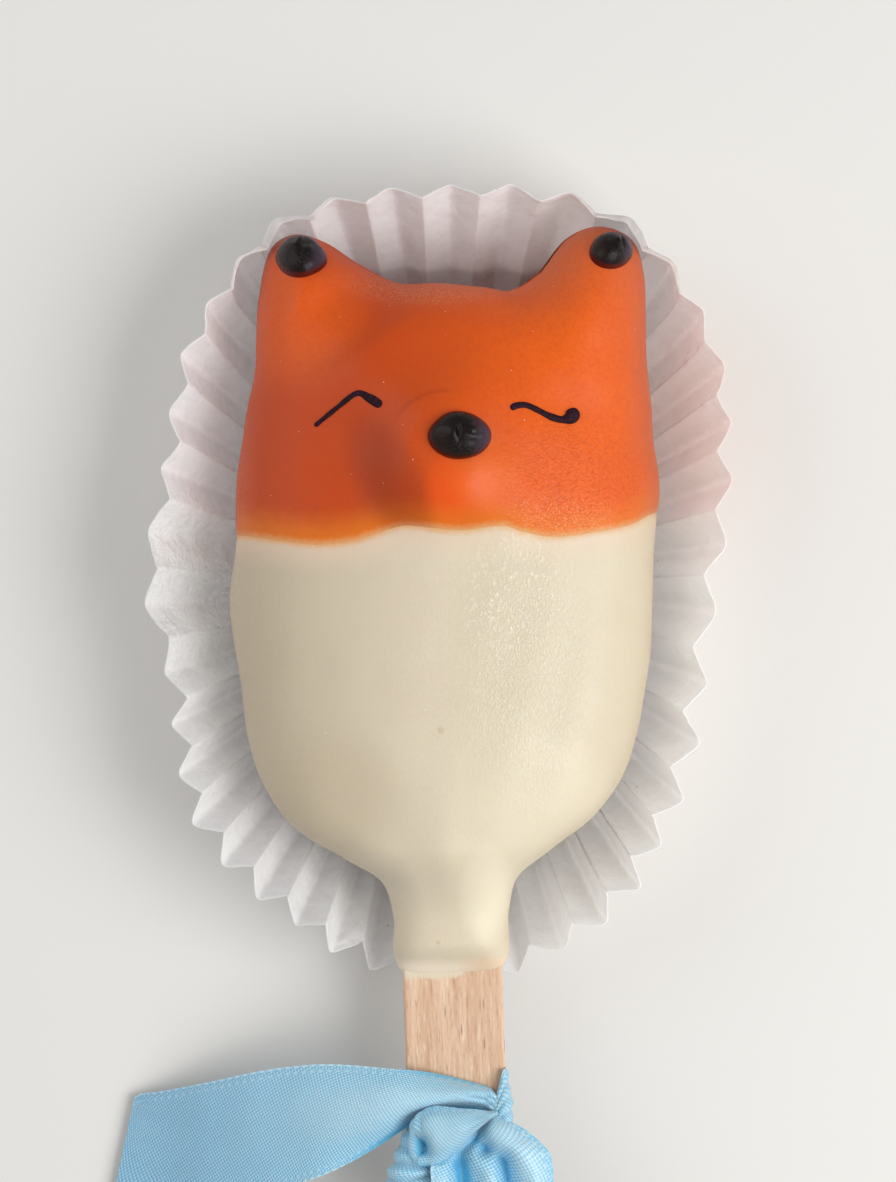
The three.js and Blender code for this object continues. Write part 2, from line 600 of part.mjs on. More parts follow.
const sweet = new THREE.Group();
sweet.add(namedMesh("head_orange", headSolid, finishes.orange));
sweet.add(namedMesh("body_cream", bodySolid, finishes.cream));
for (const drop of drops) {
  const finish = { ...finishes.chocolate, color: drop.colour };
  sweet.add(namedMesh(drop.name, dropSolid(drop, cakeSolid), finish));
}
for (const eye of eyes) sweet.add(namedMesh(eye.name, pipedLine(eye, cakeSolid), finishes.ink));
sweet.add(namedMesh("stick", stickSolid(0), finishes.wood));

const cakesicle = new THREE.Group();
cakesicle.add(sweet);
cakesicle.add(namedMesh("paper_cup", paperCup(), finishes.paper));
cakesicle.add(namedMesh("ribbon", ribbonSolid(), finishes.satin));

export default cakesicle;
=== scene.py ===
"""Dresses a cake on a stick for Blender: coats, drops, lines, stick, pleated paper cup and ribbon.

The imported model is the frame, and every piece is made in its place there. Lengths inside the functions
are in millimetres and become metres when a mesh is made. +X is the face's right, +Y the ears, +Z up.
"""
import math

import bpy
import numpy as np
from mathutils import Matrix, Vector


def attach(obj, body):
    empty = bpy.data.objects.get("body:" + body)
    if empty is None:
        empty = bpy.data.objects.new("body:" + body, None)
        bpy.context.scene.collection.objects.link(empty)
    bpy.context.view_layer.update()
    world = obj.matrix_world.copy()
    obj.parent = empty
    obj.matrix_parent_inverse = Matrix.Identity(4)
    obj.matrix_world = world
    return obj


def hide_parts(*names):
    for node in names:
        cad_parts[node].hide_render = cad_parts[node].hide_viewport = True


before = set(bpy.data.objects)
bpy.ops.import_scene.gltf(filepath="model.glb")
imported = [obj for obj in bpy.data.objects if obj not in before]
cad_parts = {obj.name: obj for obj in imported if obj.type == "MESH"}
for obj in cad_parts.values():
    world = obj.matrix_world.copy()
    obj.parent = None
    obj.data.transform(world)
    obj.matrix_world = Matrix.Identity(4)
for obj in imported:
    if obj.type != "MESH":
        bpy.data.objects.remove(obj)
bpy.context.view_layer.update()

bl_info = {
    "name": "Cakesicle",
    "version": (1, 0, 0),
    "blender": (4, 5, 0),
    "location": "3D View > Sidebar > Cakesicle",
    "description": "Builds a coated cake on a stick in its paper cup, with a ribbon knotted round the stick",
    "category": "Add Mesh",
}

MM = 0.001


def rgb(red, green, blue):
    """A colour as it shows on a screen, 0 to 255, in Blender's linear values."""
    shares = [v / 255 for v in (red, green, blue)]
    return tuple(v / 12.92 if v <= 0.04045 else ((v + 0.055) / 1.055) ** 2.4 for v in shares)


# The cake's shape, as the part's source has it

GIRTH_HEIGHT, FACE_HEIGHT, BACK_HEIGHT = 9.5, 15.8, 0.6
CROWN, CROWN_REACH, NECK_CROWN, EAR_CROWN = 4.5, 20, 0.25, 0.4
FACE_ROUND, EAR_ROUND, BACK_ROUND, ROUND_POWER = 7.5, 4.5, 8, 2.2
SPINE_X, SPINE_FOOT, SPINE_TOP = 0.4, -35, 15
SHOULDER_TOP, NECK_TOP, NECK_FOOT = -14, -26, -34
NECK_GIRTH, NECK_FACE, NECK_BACK, NECK_ROUND = 9, 12.8, 6.1, 4
THIN_FROM, THIN_TO, THIN_DROP = -35.8, -39.6, 2
EAR_ROOT, EAR_FROM, EAR_TO, EAR_DROP = 18, 24, 36, 1.4
RIGHT_SIDE = [
    (-0.9, 29.9), (3.9, 29.5), (6.6, 29.2), (9.4, 30.9), (12.4, 34.4), (15.6, 35.6), (18.7, 34.3),
    (19.8, 31), (20.1, 22.4), (20.7, 15.2), (21.4, 9.9), (21.1, 4.3), (20.7, -5.8), (20, -11.8),
    (18.4, -18.2), (15.2, -23.1), (10.4, -26.9), (7.2, -29.7), (6.4, -33), (6.35, -37.4), (5.3, -39.1),
]
FOOT_OF_NECK = (0.8, -39.6)
LEFT_SIDE = [
    (-4.1, -39.3), (-5.2, -37.4), (-5.2, -33.8), (-6.3, -30.2), (-9.9, -27.8), (-13.2, -26),
    (-16.5, -23.1), (-19.3, -17.8), (-20.6, -10.2), (-21.6, -1.6), (-20.9, 4.6), (-20.7, 10),
    (-19.9, 16.2), (-18.9, 21.2), (-18.5, 28.7), (-17.1, 33.7), (-14.9, 34.8), (-12.2, 34),
    (-9, 32), (-5, 30),
]
# Rounded swellings and hollows of the face: middle, reach, turn, rise.
RELIEF = [
    ((-1.3, 11.6), (5.3, 6.4), 0, 1.3),
    ((1.6, 12.8), (8.3, 8.4), 0, 1.5),
    ((7.5, 10.6), (8, 6), 0, 0.5),
    ((4.9, 9), (4, 3.6), 0, 0.3),
    ((-1.6, 23), (10, 8.5), 0, 1.3),
    ((-10.4, 25.8), (8.4, 3.4), 0.7, -0.85),
    ((-16.8, 26), (4.2, 7), 0, 0.4),
]
# Where the orange coat meets the cream one, from left to right.
COAT_LINE = [
    (-26, 4.6), (-20.8, 4.7), (-16.3, 4.1), (-12.6, 3.7), (-9.2, 4), (-6.8, 4.7), (-4.1, 5.5),
    (-1.4, 5.3), (1.7, 5.05), (5.5, 5.5), (7.8, 4.9), (11, 4.45), (15.6, 5.1), (18.6, 5.8), (21.2, 7),
    (26, 7.2),
]
HALF_STATIONS, FACE_RINGS, BACK_RINGS, OUTLINE_SAMPLES, COAT_LINE_SAMPLES = 320, 90, 34, 4001, 400
RING_CROWDING = 1.7  # above 1, rings lie closer together towards the girth
PLACES_AT_ONCE = 4000  # whose distances from the whole outline are worked out together

# Orange coat: the distance over which it thins out, the slope and reach of its dive under its line, how
# far past the line it is kept, and its wall. The cream sinks a little under it.
THINS_OVER, DIVE_SLOPE, DIVE_REACH, LAP, CAP_WALL = 0.8, 0.4, 0.6, 0.5, 0.45
CREAM_SINK, SINKS_OVER = 0.15, (0.05, 0.7)
COAT_UNEVEN = 0.05

# Drops: piece, node, middle, radii, height, turn, and where and how high the nib stands.
DROPS = [
    ("nose_drop", "nose", (1.4, 14.2), (3.05, 2.35), 1.75, 0.05, (-0.3, 0.1), 0.2),
    ("left_ear_drop", "ear_tip_left", (-14.3, 32.1), (2.55, 2.05), 1.6, -0.1, (-0.12, 0.45), 0.3),
    ("right_ear_drop", "ear_tip_right", (16.4, 32.8), (2.15, 1.85), 1.5, 0.1, (0.2, 0.1), 0.3),
]
DROP_STATIONS, DROP_RINGS, DROP_DEPTH = 160, 60, 0.7
# Forms on a drop: places and reaches are shares of its radii, and the depth and the rise are lengths.
NIB_REACH = (0.16, 0.3)
CREASE_ASIDE, CREASE_REACH, CREASE_DEPTH = 0.2, (0.08, 0.34), 0.25
BEAD_AT, BEAD_REACH, BEAD_RISE = (0.38, 0.12), (0.2, 0.24), 0.34
GRAIN_AT, GRAIN_REACH = (0.15, -0.5), (0.5, 0.3)

# Closed eyes: piece, node, points, half widths.
EYES = [
    ("left_eye_line", "eye_left",
     [(-12.75, 15.3), (-10.6, 17), (-8.6, 18.4), (-7.3, 17.9), (-6.15, 17.15)],
     [0.2, 0.24, 0.28, 0.42, 0.5]),
    ("right_eye_line", "eye_right",
     [(6.4, 16.8), (6.9, 17.15), (7.85, 17.25), (8.9, 16.85), (10.25, 16.2), (11.4, 15.9), (12.3, 16.15),
      (12.9, 17)],
     [0.3, 0.33, 0.3, 0.3, 0.32, 0.4, 0.62, 0.64]),
]
LINE_STEPS, LINE_SIDES = 220, 28
LINE_RISE, LINE_SINK = 0.6, 0.4  # above and below the face, as shares of the half width

STICK_WIDTH, STICK_LENGTH, STICK_THICKNESS = 10, 93, 2
STICK_MIDDLE, STICK_INNER_END = 9, 0.6
STICK_CROSSING, STICK_LEAN = (0.79, -39.7), math.radians(1.87)
END_STATIONS, SIDE_STATIONS, FILLET_RINGS = 49, 59, 9
FLAT_RINGS = [1, 0.6, 0.3]  # on the flat faces, inset by these shares of half the width

# Paper cup, as in the part's source
PLEATS, CUP_HEIGHT, CUP_BOW = 40, 13, 0.8
LOW_HEIGHT, LOW_MIDDLE, LOW_HALF_WIDTH, LOW_FADE = 5.3, 0.9, 7.5, 6
PLEAT_AT_FLOOR, PLEAT_DEPTH_DROP = 0.25, 0.3
RIM_REACH = [
    26.5, 30.1, 36.4, 39.8, 38.9, 38.8, 34.8, 29.6, 29.2, 28.7, 33.7, 36.3, 40.4, 36.9, 31.4, 27.1,
]
PLEATS_AHEAD = [
    -0.6, -1.3, -1.2, -1, -0.9, -0.7, -0.4, -0.5, -1.3, -2.1, -1.9, -1.4, -0.4, 0.2, 0.8, 0.4,
]
FLOOR_RIGHT, FLOOR_LEFT, FLOOR_UP, FLOOR_DOWN = 20, 19.6, 32.3, 29.6
FLOOR_FULL_UP, FLOOR_FULL_DOWN = 4.2, 2.4
EAR_PRESS = [(62, 16, 3), (114, 16, 2.8)]  # direction and spread in degrees, push
STEPS_PER_PLEAT, WALL_ROWS, FLOOR_RINGS, DIRECTION_ROUNDS = 24, 40, 8, 30
SMALL_TURN = 0.05  # radians, between two places that give the rim's direction
PLEAT_LEAN, RIDGE_BLUNT = 0.09, 0.3
DEEPENING = 0.3  # power of the share of the height, so that the pleats get deep soon above the floor
PLEAT_UNEVEN, RIM_UNEVEN = 0.12, 0.12

# Ribbon strands. A station: middle, direction across, width, and how far its section stands up at even
# steps from its first edge to its second.
RIBBON_WIDTH, RIBBON_LOWEST = 12, 0.05
STEPS_PER_STATION, STEPS_ACROSS = 14, 49
STRANDS = [
    [  # left tail, over the stick and down into the knot at its right edge
        ((-33.4, -59.5, 0.8), (-0.21, -0.98, 0), 13.1, (0, 0, 0, 0, 0, 0, 0, 0, 0)),
        ((-28.9, -58.4, 1.6), (0.18, -0.98, 0.05), 12, (0, 0.1, 0.1, 0.2, 0.2, 0.2, 0.1, 0.1, 0)),
        ((-23.8, -57.2, 3.8), (0.2, -0.97, 0.06), 12, (0, 0.2, 0.3, 0.3, 0.3, 0.4, 0.3, 0.2, 0)),
        ((-17.6, -55.5, 6.6), (0.15, -0.98, 0.06), 12, (0, 0.3, 0.5, 0.6, 0.6, 0.5, 0.4, 0.3, 0)),
        ((-12.8, -54.2, 8.8), (0.05, -0.99, 0.04), 11.2, (0, 0.4, 0.7, 0.9, 0.9, 0.8, 0.6, 0.4, 0)),
        ((-9.4, -53.3, 10.1), (0, -1, 0), 9.6, (-0.1, 0.5, 0.9, 1.2, 1.3, 1.2, 0.8, 0.2, -0.4)),
        ((-5.7, -52.3, 11.2), (-0.05, -0.99, -0.05), 7.2, (-0.3, 0.4, 1, 1.3, 1.4, 1.2, 0.7, -0.1, -1.1)),
        ((-2.6, -51.6, 11.4), (0.05, -0.99, -0.1), 5.2, (-0.7, 0.1, 0.7, 1.2, 1.3, 0.8, -0.2, -0.9, -1.2)),
        ((1.4, -51.6, 11.2), (0.1, -0.99, 0), 3.6, (-0.8, 0, 0.6, 1, 0.9, 0.1, -0.8, -0.9, -0.9)),
        ((3.6, -51.9, 11), (0, -1, 0), 2.9, (-0.7, 0.1, 0.5, 0.2, 0.4, -0.3, -0.7, -0.8, -0.8)),
        ((4.6, -52.2, 10.9), (-0.2, -0.98, 0), 2.4, (-0.5, 0.3, 0, 0.4, 0, 0.1, -0.4, -0.6, -0.7)),
        ((5.1, -52.9, 10.6), (-0.6, -0.8, 0), 1.8, (-0.3, 0.1, 0, 0.2, 0, 0.2, 0, -0.1, -0.4)),
        ((5.2, -53.7, 10.3), (-0.95, -0.3, 0), 1.2, (-0.2, 0, 0, 0, 0, 0, 0, 0, -0.2)),
    ],
    [  # out of the knot, round the stick's right edge, behind it and up at its left edge
        ((4.8, -53.6, 10.7), (0.3, -0.95, 0), 1.2, (0, 0.1, 0, 0.1, 0, 0.1, 0, 0.1, 0)),
        ((5.45, -52.8, 10.9), (0.12, -0.99, 0), 3.2, (-0.2, 0.1, 0, 0.2, 0, 0.3, 0, 0.1, -0.2)),
        ((6.1, -51.8, 10.8), (0.06, -1, 0), 5.5, (-0.2, 0.1, 0, 0.3, 0.1, 0.3, 0, 0.2, -0.1)),
        ((6.35, -51.6, 9.9), (0.1, -0.99, 0), 5.6, (-0.1, 0.1, 0, 0.2, 0.1, 0.3, 0, 0.2, -0.1)),
        ((6.3, -51.7, 8.5), (0.15, -0.99, 0), 5.6, (-0.1, 0.1, 0, 0.2, 0.1, 0.2, 0, 0.1, 0)),
        ((5, -52.7, 7.1), (0.4, -0.92, 0), 5.8, (0, 0.1, 0, 0.2, 0, 0.2, 0, 0.1, 0)),
        ((1, -55, 6.9), (0.44, -0.9, 0), 6, (0, 0.2, 0, 0.2, 0, 0.2, 0, 0.2, 0)),
        ((-3, -57.4, 7.1), (0, -1, 0), 6.6, (0, 0.2, 0, 0.2, 0, 0.3, 0, 0.2, 0)),
        ((-4.7, -58.3, 8.2), (-0.28, -0.96, 0), 7, (0, 0.3, 0.1, 0.3, 0, 0.3, 0.1, 0.3, 0)),
        ((-4.8, -58.4, 9.9), (-0.28, -0.96, 0), 7, (0, 0.3, 0.1, 0.5, 0.1, 0.6, 0, 0.4, 0)),
        ((-4, -58.3, 11), (-0.25, -0.97, 0), 6.6, (-0.3, 0.3, 0, 0.6, 0, 0.7, 0.1, 0.5, 0)),
        ((-2.4, -58.4, 11.2), (-0.1, -1, 0), 4.8, (-0.3, 0.4, 0.1, 0.5, 0, 0.5, 0, 0.3, 0)),
        ((-0.4, -58.2, 10.8), (0.1, -0.99, 0), 3.6, (0, 0, 0, 0, 0, 0, 0, 0, 0)),
    ],
    [  # petal of the knot: curls up at its left end and runs to a point at the right
        ((-1.2, -55.6, 10.8), (0, -1, 0), 2.4, (0, 0, 0, 0, 0, 0, 0, 0, 0)),
        ((-2.7, -55.7, 11.1), (0, -1, 0), 3.2, (0, 0, 0, 0, 0, 0, 0, 0, 0)),
        ((-3.4, -55.7, 12.2), (0.02, -1, 0), 3.8, (-0.2, 0, 0, 0, 0, 0, 0, 0, -0.2)),
        ((-2.9, -55.6, 12.8), (0.02, -1, 0), 4.6, (-0.3, 0.1, 0.1, -0.6, -1.5, -1.9, -1.5, -0.5, -0.4)),
        ((-2.2, -55.5, 12.6), (0.03, -1, 0), 5.4, (-0.4, 0.3, 0.7, 0.4, -0.6, -1.4, -1.2, -0.1, -0.8)),
        ((-1.1, -55.25, 12.7), (0.03, -1, 0), 5.9, (-0.5, 0.5, 1, 1.2, 1.2, 0.8, 0.4, 0.2, -0.9)),
        ((0.2, -54.9, 12.9), (0, -1, 0), 5.1, (-0.5, 0.4, 0.9, 1.2, 1.3, 1.2, 0.8, 0.2, -0.7)),
        ((1.5, -54.35, 13), (0, -1, 0), 3.7, (-0.4, 0.3, 0.7, 1, 1.1, 1, 0.7, 0.1, -0.5)),
        ((3, -53.65, 12.7), (0, -1, 0), 2.1, (-0.2, 0.2, 0.4, 0.5, 0.6, 0.5, 0.4, 0.1, -0.3)),
        ((4.3, -53.25, 12.1), (0, -1, 0), 0.9, (-0.1, 0, 0.1, 0.2, 0.2, 0.2, 0.1, 0, -0.1)),
        ((5.1, -53.1, 11.3), (0, -1, 0), 0.5, (0, 0, 0, 0.1, 0.1, 0.1, 0, 0, 0)),
    ],
    [  # second tail: out of the knot, folded over the stick, and down at the right
        ((4.9, -53.5, 10.9), (-0.9, -0.44, 0), 1.4, (0, 0.1, 0.2, 0.2, 0.2, 0.2, 0.1, 0, 0)),
        ((4.2, -54.3, 11.1), (-0.94, -0.34, 0), 3.4, (-0.4, 0.4, 0.8, 0.8, 0.4, 0, -0.3, -0.1, 0)),
        ((3.9, -55.4, 11.3), (-0.955, -0.3, 0), 6.9, (-0.5, 0.9, 1.5, 1.3, 0.3, -0.9, -0.3, 0, 0)),
        ((4.1, -56.6, 11.4), (-0.98, -0.19, 0), 10, (-0.6, 1.2, 1.9, 1, -0.8, 0.1, -0.6, -0.2, 0)),
        ((4.45, -57.7, 11.6), (-0.99, -0.12, 0), 11.8, (-0.6, 1.5, 1.8, -0.6, 0.4, 0.3, -1.2, 0.3, 0.6)),
        ((4.68, -59.2, 11.6), (-1, -0.07, 0), 12.1, (-0.6, 1.7, 1.3, -0.8, 1, 0.1, -1.2, 0.8, 0.9)),
        ((4.7, -60.9, 11.6), (-1, -0.02, 0), 12.1, (-0.6, 1.7, 0.6, -0.6, 1.1, -0.1, -1.2, 0.9, 0.9)),
        ((5, -63.4, 11.4), (-0.99, -0.06, 0.05), 12, (-0.4, 1.2, 1, 0.3, 0.8, 0, -0.7, 0.8, 0.6)),
        ((6.3, -67.2, 10.8), (-0.94, -0.26, 0.2), 12, (-0.2, 0.7, 0.9, 0.5, 0.5, 0.2, -0.1, 0.4, 0.3)),
        ((9.2, -71.8, 9.2), (-0.83, -0.35, 0.45), 12, (0, 0.2, 0.4, 0.4, 0.3, 0.2, 0.2, 0.2, 0)),
        ((13.2, -77.2, 5.2), (-0.78, -0.5, 0.36), 12, (0, 0.2, 0.3, 0.3, 0.3, 0.3, 0.2, 0.1, 0)),
        ((17, -82, 1.9), (-0.78, -0.62, 0.08), 12, (0, 0.1, 0.2, 0.2, 0.2, 0.2, 0.1, 0.1, 0)),
        ((19.6, -85.4, 0.8), (-0.78, -0.62, 0.02), 12, (0, 0, 0, 0, 0, 0, 0, 0, 0)),
    ],
]

EDGE_OF_COAT = rgb(226, 168, 112)  # where the orange coat has thinned to nothing

# The photograph: its height in pixels, its middle on the object, and the camera's distance from the table
PHOTO_HEIGHT = 1182
VIEW_MIDDLE, VIEW_DISTANCE = (0.31, -0.83), 340
FOCAL_PIXELS, SENSOR_HEIGHT = 3284.4, 36

# Stage, in metres
FLOOR_HALF, FLOOR_GAP = 1.5, 0.0001
KEY_PLACE, KEY_SIZE = (0.28, -0.09, 0.3), 0.3
FILL_PLACE, FILL_SIZE = (-0.3, 0.12, 0.22), 0.35
LIT_PLACE = (0, 0, 0.01)


# Curves and fields


def curve_through(points, shares, closed=False, even=False):
    """Catmull-Rom curve through the points, at the given shares of its run of spans.

    Each span is the cubic between two points whose slopes there are the weighted means of the chords on
    both sides. The chords weigh as the root of their length, or all the same where even is set.
    """
    points = np.asarray(points, float)
    count = len(points)
    place = np.asarray(shares, float) * (count if closed else count - 1)
    first = np.floor(place).astype(int)
    if closed:
        first %= count
        padded = points[np.arange(-1, count + 2) % count]
        share = (place % 1)[:, None]
    else:
        first = np.clip(first, 0, count - 2)
        reach = 0 if even else 1
        before = points[0] + reach * (points[0] - points[1])
        after = points[-1] + reach * (points[-1] - points[-2])
        padded = np.vstack([before, points, after])
        share = (place - first)[:, None]
    a, b, c, d = (padded[first + k] for k in range(4))
    if even:
        slope_b, slope_c = (c - a) / 2, (d - b) / 2
    else:
        root = [np.linalg.norm(q - p, axis=1, keepdims=True) ** 0.5 for p, q in ((a, b), (b, c), (c, d))]
        middle = np.where(root[1] < 1e-4, 1, root[1])
        before, after = (np.where(r < 1e-4, middle, r) for r in (root[0], root[2]))
        slope_b = ((b - a) / before - (c - a) / (before + middle) + (c - b) / middle) * middle
        slope_c = ((c - b) / middle - (d - b) / (middle + after) + (d - c) / after) * middle
    bend = 3 * (c - b) - 2 * slope_b - slope_c
    return b + share * (slope_b + share * (bend + share * (slope_b + slope_c - 2 * (c - b))))


def smooth(value, low, high):
    """0 below low and 1 above high, with the cubic 3s^2 - 2s^3 between them."""
    share = np.clip((value - low) / (high - low), 0, 1)
    return share * share * (3 - 2 * share)


def lerp(a, b, share):
    return a + (b - a) * share


def lumps(seed, size, *coordinates, waves=20):
    """Smooth random unevenness: a sum of sine waves about the given size long, in random directions."""
    random = np.random.default_rng(seed)
    directions = random.normal(size=(waves, len(coordinates)))
    lengths = size * random.uniform(0.7, 1.6, (waves, 1))
    directions *= 2 * np.pi / lengths / np.linalg.norm(directions, axis=1, keepdims=True)
    phases = random.uniform(0, 2 * np.pi, waves)
    place = np.stack(np.broadcast_arrays(*coordinates), -1)
    return np.sin(place @ directions.T + phases).sum(-1) / math.sqrt(waves)


def unit(vectors):
    return vectors / np.maximum(np.linalg.norm(vectors, axis=-1, keepdims=True), 1e-12)


def run_along(points):
    """Distance along a curve's points, from its first."""
    return np.concatenate([[0], np.cumsum(np.linalg.norm(np.diff(points, axis=0), axis=1))])


def turned(x, y, angle):
    """Places turned about the origin."""
    c, s = math.cos(angle), math.sin(angle)
    return x * c - y * s, x * s + y * c


def bell(x, y, middle, reach, power=1):
    """A bell, 1 in the middle: e to minus q^power, where q is the square of the share of the reach."""
    away = ((x - middle[0]) / reach[0]) ** 2 + ((y - middle[1]) / reach[1]) ** 2
    return np.exp(-(away**power))


# Meshes


def grid_quads(rows, columns, wrapped):
    """Corner numbers of a grid's quads, its last column joined to its first where it is wrapped."""
    number = np.arange(rows * columns).reshape(rows, columns)
    right = np.roll(number, -1, axis=1)
    quads = np.stack([number[:-1], right[:-1], right[1:], number[1:]], -1)
    return quads if wrapped else quads[:, :-1]


def merged(grid):
    """The grid's places with equal ones merged: the number of each, and where each number comes first."""
    flat = np.round(grid.reshape(-1, 3), 4)
    _, first, numbers = np.unique(flat, axis=0, return_index=True, return_inverse=True)
    return first, numbers.reshape(-1)


def triangles_of(quads):
    """Two triangles a quad, without those that merged corners leave flat."""
    halves = np.concatenate([quads[:, [0, 1, 2]], quads[:, [0, 2, 3]]])
    a, b, c = halves.T
    return halves[(a != b) & (b != c) & (c != a)]


def at_places(marks, places):
    """Marks given on a whole grid, at the given places of it."""
    return {name: grid.reshape(-1, *grid.shape[2:])[places] for name, grid in marks.items()}


def closed_surface(grid, **marks):
    """A wrapped grid whose edges meet, as points, triangles and marks."""
    first, numbers = merged(grid)
    quads = numbers[grid_quads(*grid.shape[:2], True).reshape(-1, 4)]
    return grid.reshape(-1, 3)[first], triangles_of(quads), at_places(marks, first)


def wall(outside, inside, wrapped=False, kept=None, **marks):
    """A wall between two grids, where all of a quad's corners are kept, as points, triangles and marks.

    The outside's quads, the inside's turned round, and a strip along each edge that only one quad has.
    """
    first, numbers = merged(outside)
    quads = grid_quads(*outside.shape[:2], wrapped).reshape(-1, 4)
    if kept is not None:
        quads = quads[kept.ravel()[quads].all(-1)]
    quads = numbers[quads]
    edges = np.concatenate([quads[:, [k, (k + 1) % 4]] for k in range(4)])
    edges = edges[edges[:, 0] != edges[:, 1]]
    count = len(first)
    there, back = edges @ [count, 1], edges @ [1, count]
    rim = edges[~np.isin(there, back)]
    strips = np.column_stack([rim[:, 1], rim[:, 0], rim[:, 0] + count, rim[:, 1] + count])
    used, numbers = np.unique(
        triangles_of(np.concatenate([quads, quads[:, ::-1] + count, strips])), return_inverse=True
    )
    points = np.concatenate([outside.reshape(-1, 3)[first], inside.reshape(-1, 3)[first]])
    return points[used], numbers.reshape(-1, 3), at_places(marks, np.concatenate([first, first])[used])


def make_piece(name, node, finish, parts, crease=60):
    """One object in a node's stead, from closed parts: points in millimetres, triangles and marks.

    Its faces point outwards. Marks are values kept on the points for the material. Edges sharper than
    crease degrees stay sharp.
    """
    points, triangles, count = [], [], 0
    for place, corners, _ in parts:
        a, b, c = place[corners].transpose(1, 0, 2)
        outwards = np.einsum("ij,ij->i", a, np.cross(b, c)).sum() > 0
        triangles.append((corners if outwards else corners[:, ::-1]) + count)
        points.append(place)
        count += len(place)
    mesh = bpy.data.meshes.new(name)
    mesh.from_pydata((np.concatenate(points) * MM).tolist(), [], np.concatenate(triangles).tolist())
    for mark in parts[0][2]:
        values = np.concatenate([marks[mark] for *_, marks in parts]).astype(np.float32)
        kind, field = ("FLOAT_VECTOR", "vector") if values.ndim == 2 else ("FLOAT", "value")
        mesh.attributes.new(mark, kind, "POINT").data.foreach_set(field, values.ravel())
    mesh.polygons.foreach_set("use_smooth", np.ones(len(mesh.polygons), bool))
    mesh.set_sharp_from_angle(angle=math.radians(crease))
    mesh.materials.append(finish)
    mesh.update()
    piece = bpy.data.objects.new(name, mesh)
    bpy.context.collection.objects.link(piece)
    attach(piece, "root")
    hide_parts(node)
    return piece


# Cake


def outline_stretch(start, end, segments):
    """Points of the outline between two of its shares, an even distance apart."""
    points = curve_through(OUTLINE, np.linspace(start, end, OUTLINE_SAMPLES), closed=True)
    run = run_along(points)
    wanted = np.linspace(0, run[-1], segments + 1)
    return np.column_stack([np.interp(wanted, run, column) for column in points.T])


OUTLINE = [*RIGHT_SIDE, FOOT_OF_NECK, *LEFT_SIDE]
FOOT_SHARE = len(RIGHT_SIDE) / len(OUTLINE)
RIGHT_EDGE = outline_stretch(0, FOOT_SHARE, HALF_STATIONS)
LEFT_EDGE = outline_stretch(1, FOOT_SHARE, HALF_STATIONS)
EDGE = np.concatenate([RIGHT_EDGE, LEFT_EDGE[-2:0:-1]])
EDGE_STEP = np.linalg.norm(np.roll(EDGE, -1, axis=0) - EDGE, axis=1)
DISTANCE_POWER = 8
STRAIGHT_SHARE = 5 * math.pi / 16  # makes the soft distance exact beside a straight edge


def soft_distance(x, y):
    """Distance in from the outline: the power mean of the distances to all of it, so without creases."""
    places = np.column_stack([np.ravel(x), np.ravel(y)])
    sums = []
    for some in np.array_split(places, len(places) // PLACES_AT_ONCE + 1):
        squared = ((some[:, None] - EDGE) ** 2).sum(-1)
        sums.append((EDGE_STEP / np.maximum(squared, 1e-6) ** (DISTANCE_POWER / 2)).sum(1))
    share = np.concatenate(sums).reshape(np.shape(x)) / STRAIGHT_SHARE
    return share ** (-1 / (DISTANCE_POWER - 1))


def rounded_edge(distance, reach):
    """Rises steeply from 0 at the outline to 1 at the given distance in: a quarter of a superellipse."""
    share = np.clip(distance / reach, 0, 1)
    return (1 - (1 - share) ** ROUND_POWER) ** (1 / ROUND_POWER)


def relief(x, y):
    """Swellings and hollows of the face: bells, flat-topped because of their power."""
    total = np.zeros(np.shape(x))
    for (at_x, at_y), reach, turn, rise in RELIEF:
        total += rise * bell(*turned(x - at_x, y - at_y, -turn), (0, 0), reach, 2)
    return total


def neck_share(y):
    return 1 - smooth(y, NECK_FOOT, NECK_TOP)


def face_round(y):
    """How far in from the outline the face is rounded: less at the ears and from the shoulders down."""
    round_off = lerp(FACE_ROUND, NECK_ROUND, 1 - smooth(y, NECK_TOP, SHOULDER_TOP))
    return round_off - (FACE_ROUND - EAR_ROUND) * smooth(y, EAR_ROOT, EAR_TO)


def face_height(x, y, distance=None):
    """Height of the face: from the girth up round the edge to the flat, with crown, ears' fall and relief."""
    distance = soft_distance(x, y) if distance is None else distance
    neck = neck_share(y)
    girth = lerp(GIRTH_HEIGHT, NECK_GIRTH, neck)
    flat = lerp(FACE_HEIGHT, NECK_FACE, neck) - EAR_DROP * smooth(y, EAR_FROM, EAR_TO)
    flat = flat - THIN_DROP * (1 - smooth(y, THIN_TO, THIN_FROM))
    edge = rounded_edge(distance, face_round(y))
    crown = CROWN * lerp(1, NECK_CROWN, neck) * lerp(1, EAR_CROWN, smooth(y, EAR_ROOT, EAR_TO))
    share = np.clip(distance / CROWN_REACH, 0, 1)
    return girth + (flat - girth + relief(x, y)) * edge + crown * (1 - (1 - share) ** 2)


def back_height(y, distance):
    """Height of the back: from the girth down round the edge to the flat."""
    neck = neck_share(y)
    girth = lerp(GIRTH_HEIGHT, NECK_GIRTH, neck)
    edge = rounded_edge(distance, lerp(BACK_ROUND, NECK_ROUND, neck))
    return girth - (girth - lerp(BACK_HEIGHT, NECK_BACK, neck)) * edge


def above_coat_line(x, y):
    """Signed distance of a place above the line where the two coats meet."""
    line_x, line_y = curve_through(COAT_LINE, np.linspace(0, 1, COAT_LINE_SAMPLES), even=True).T
    slope = np.interp(x, line_x, np.gradient(line_y, line_x))
    return (y - np.interp(x, line_x, line_y)) / np.hypot(1, slope)


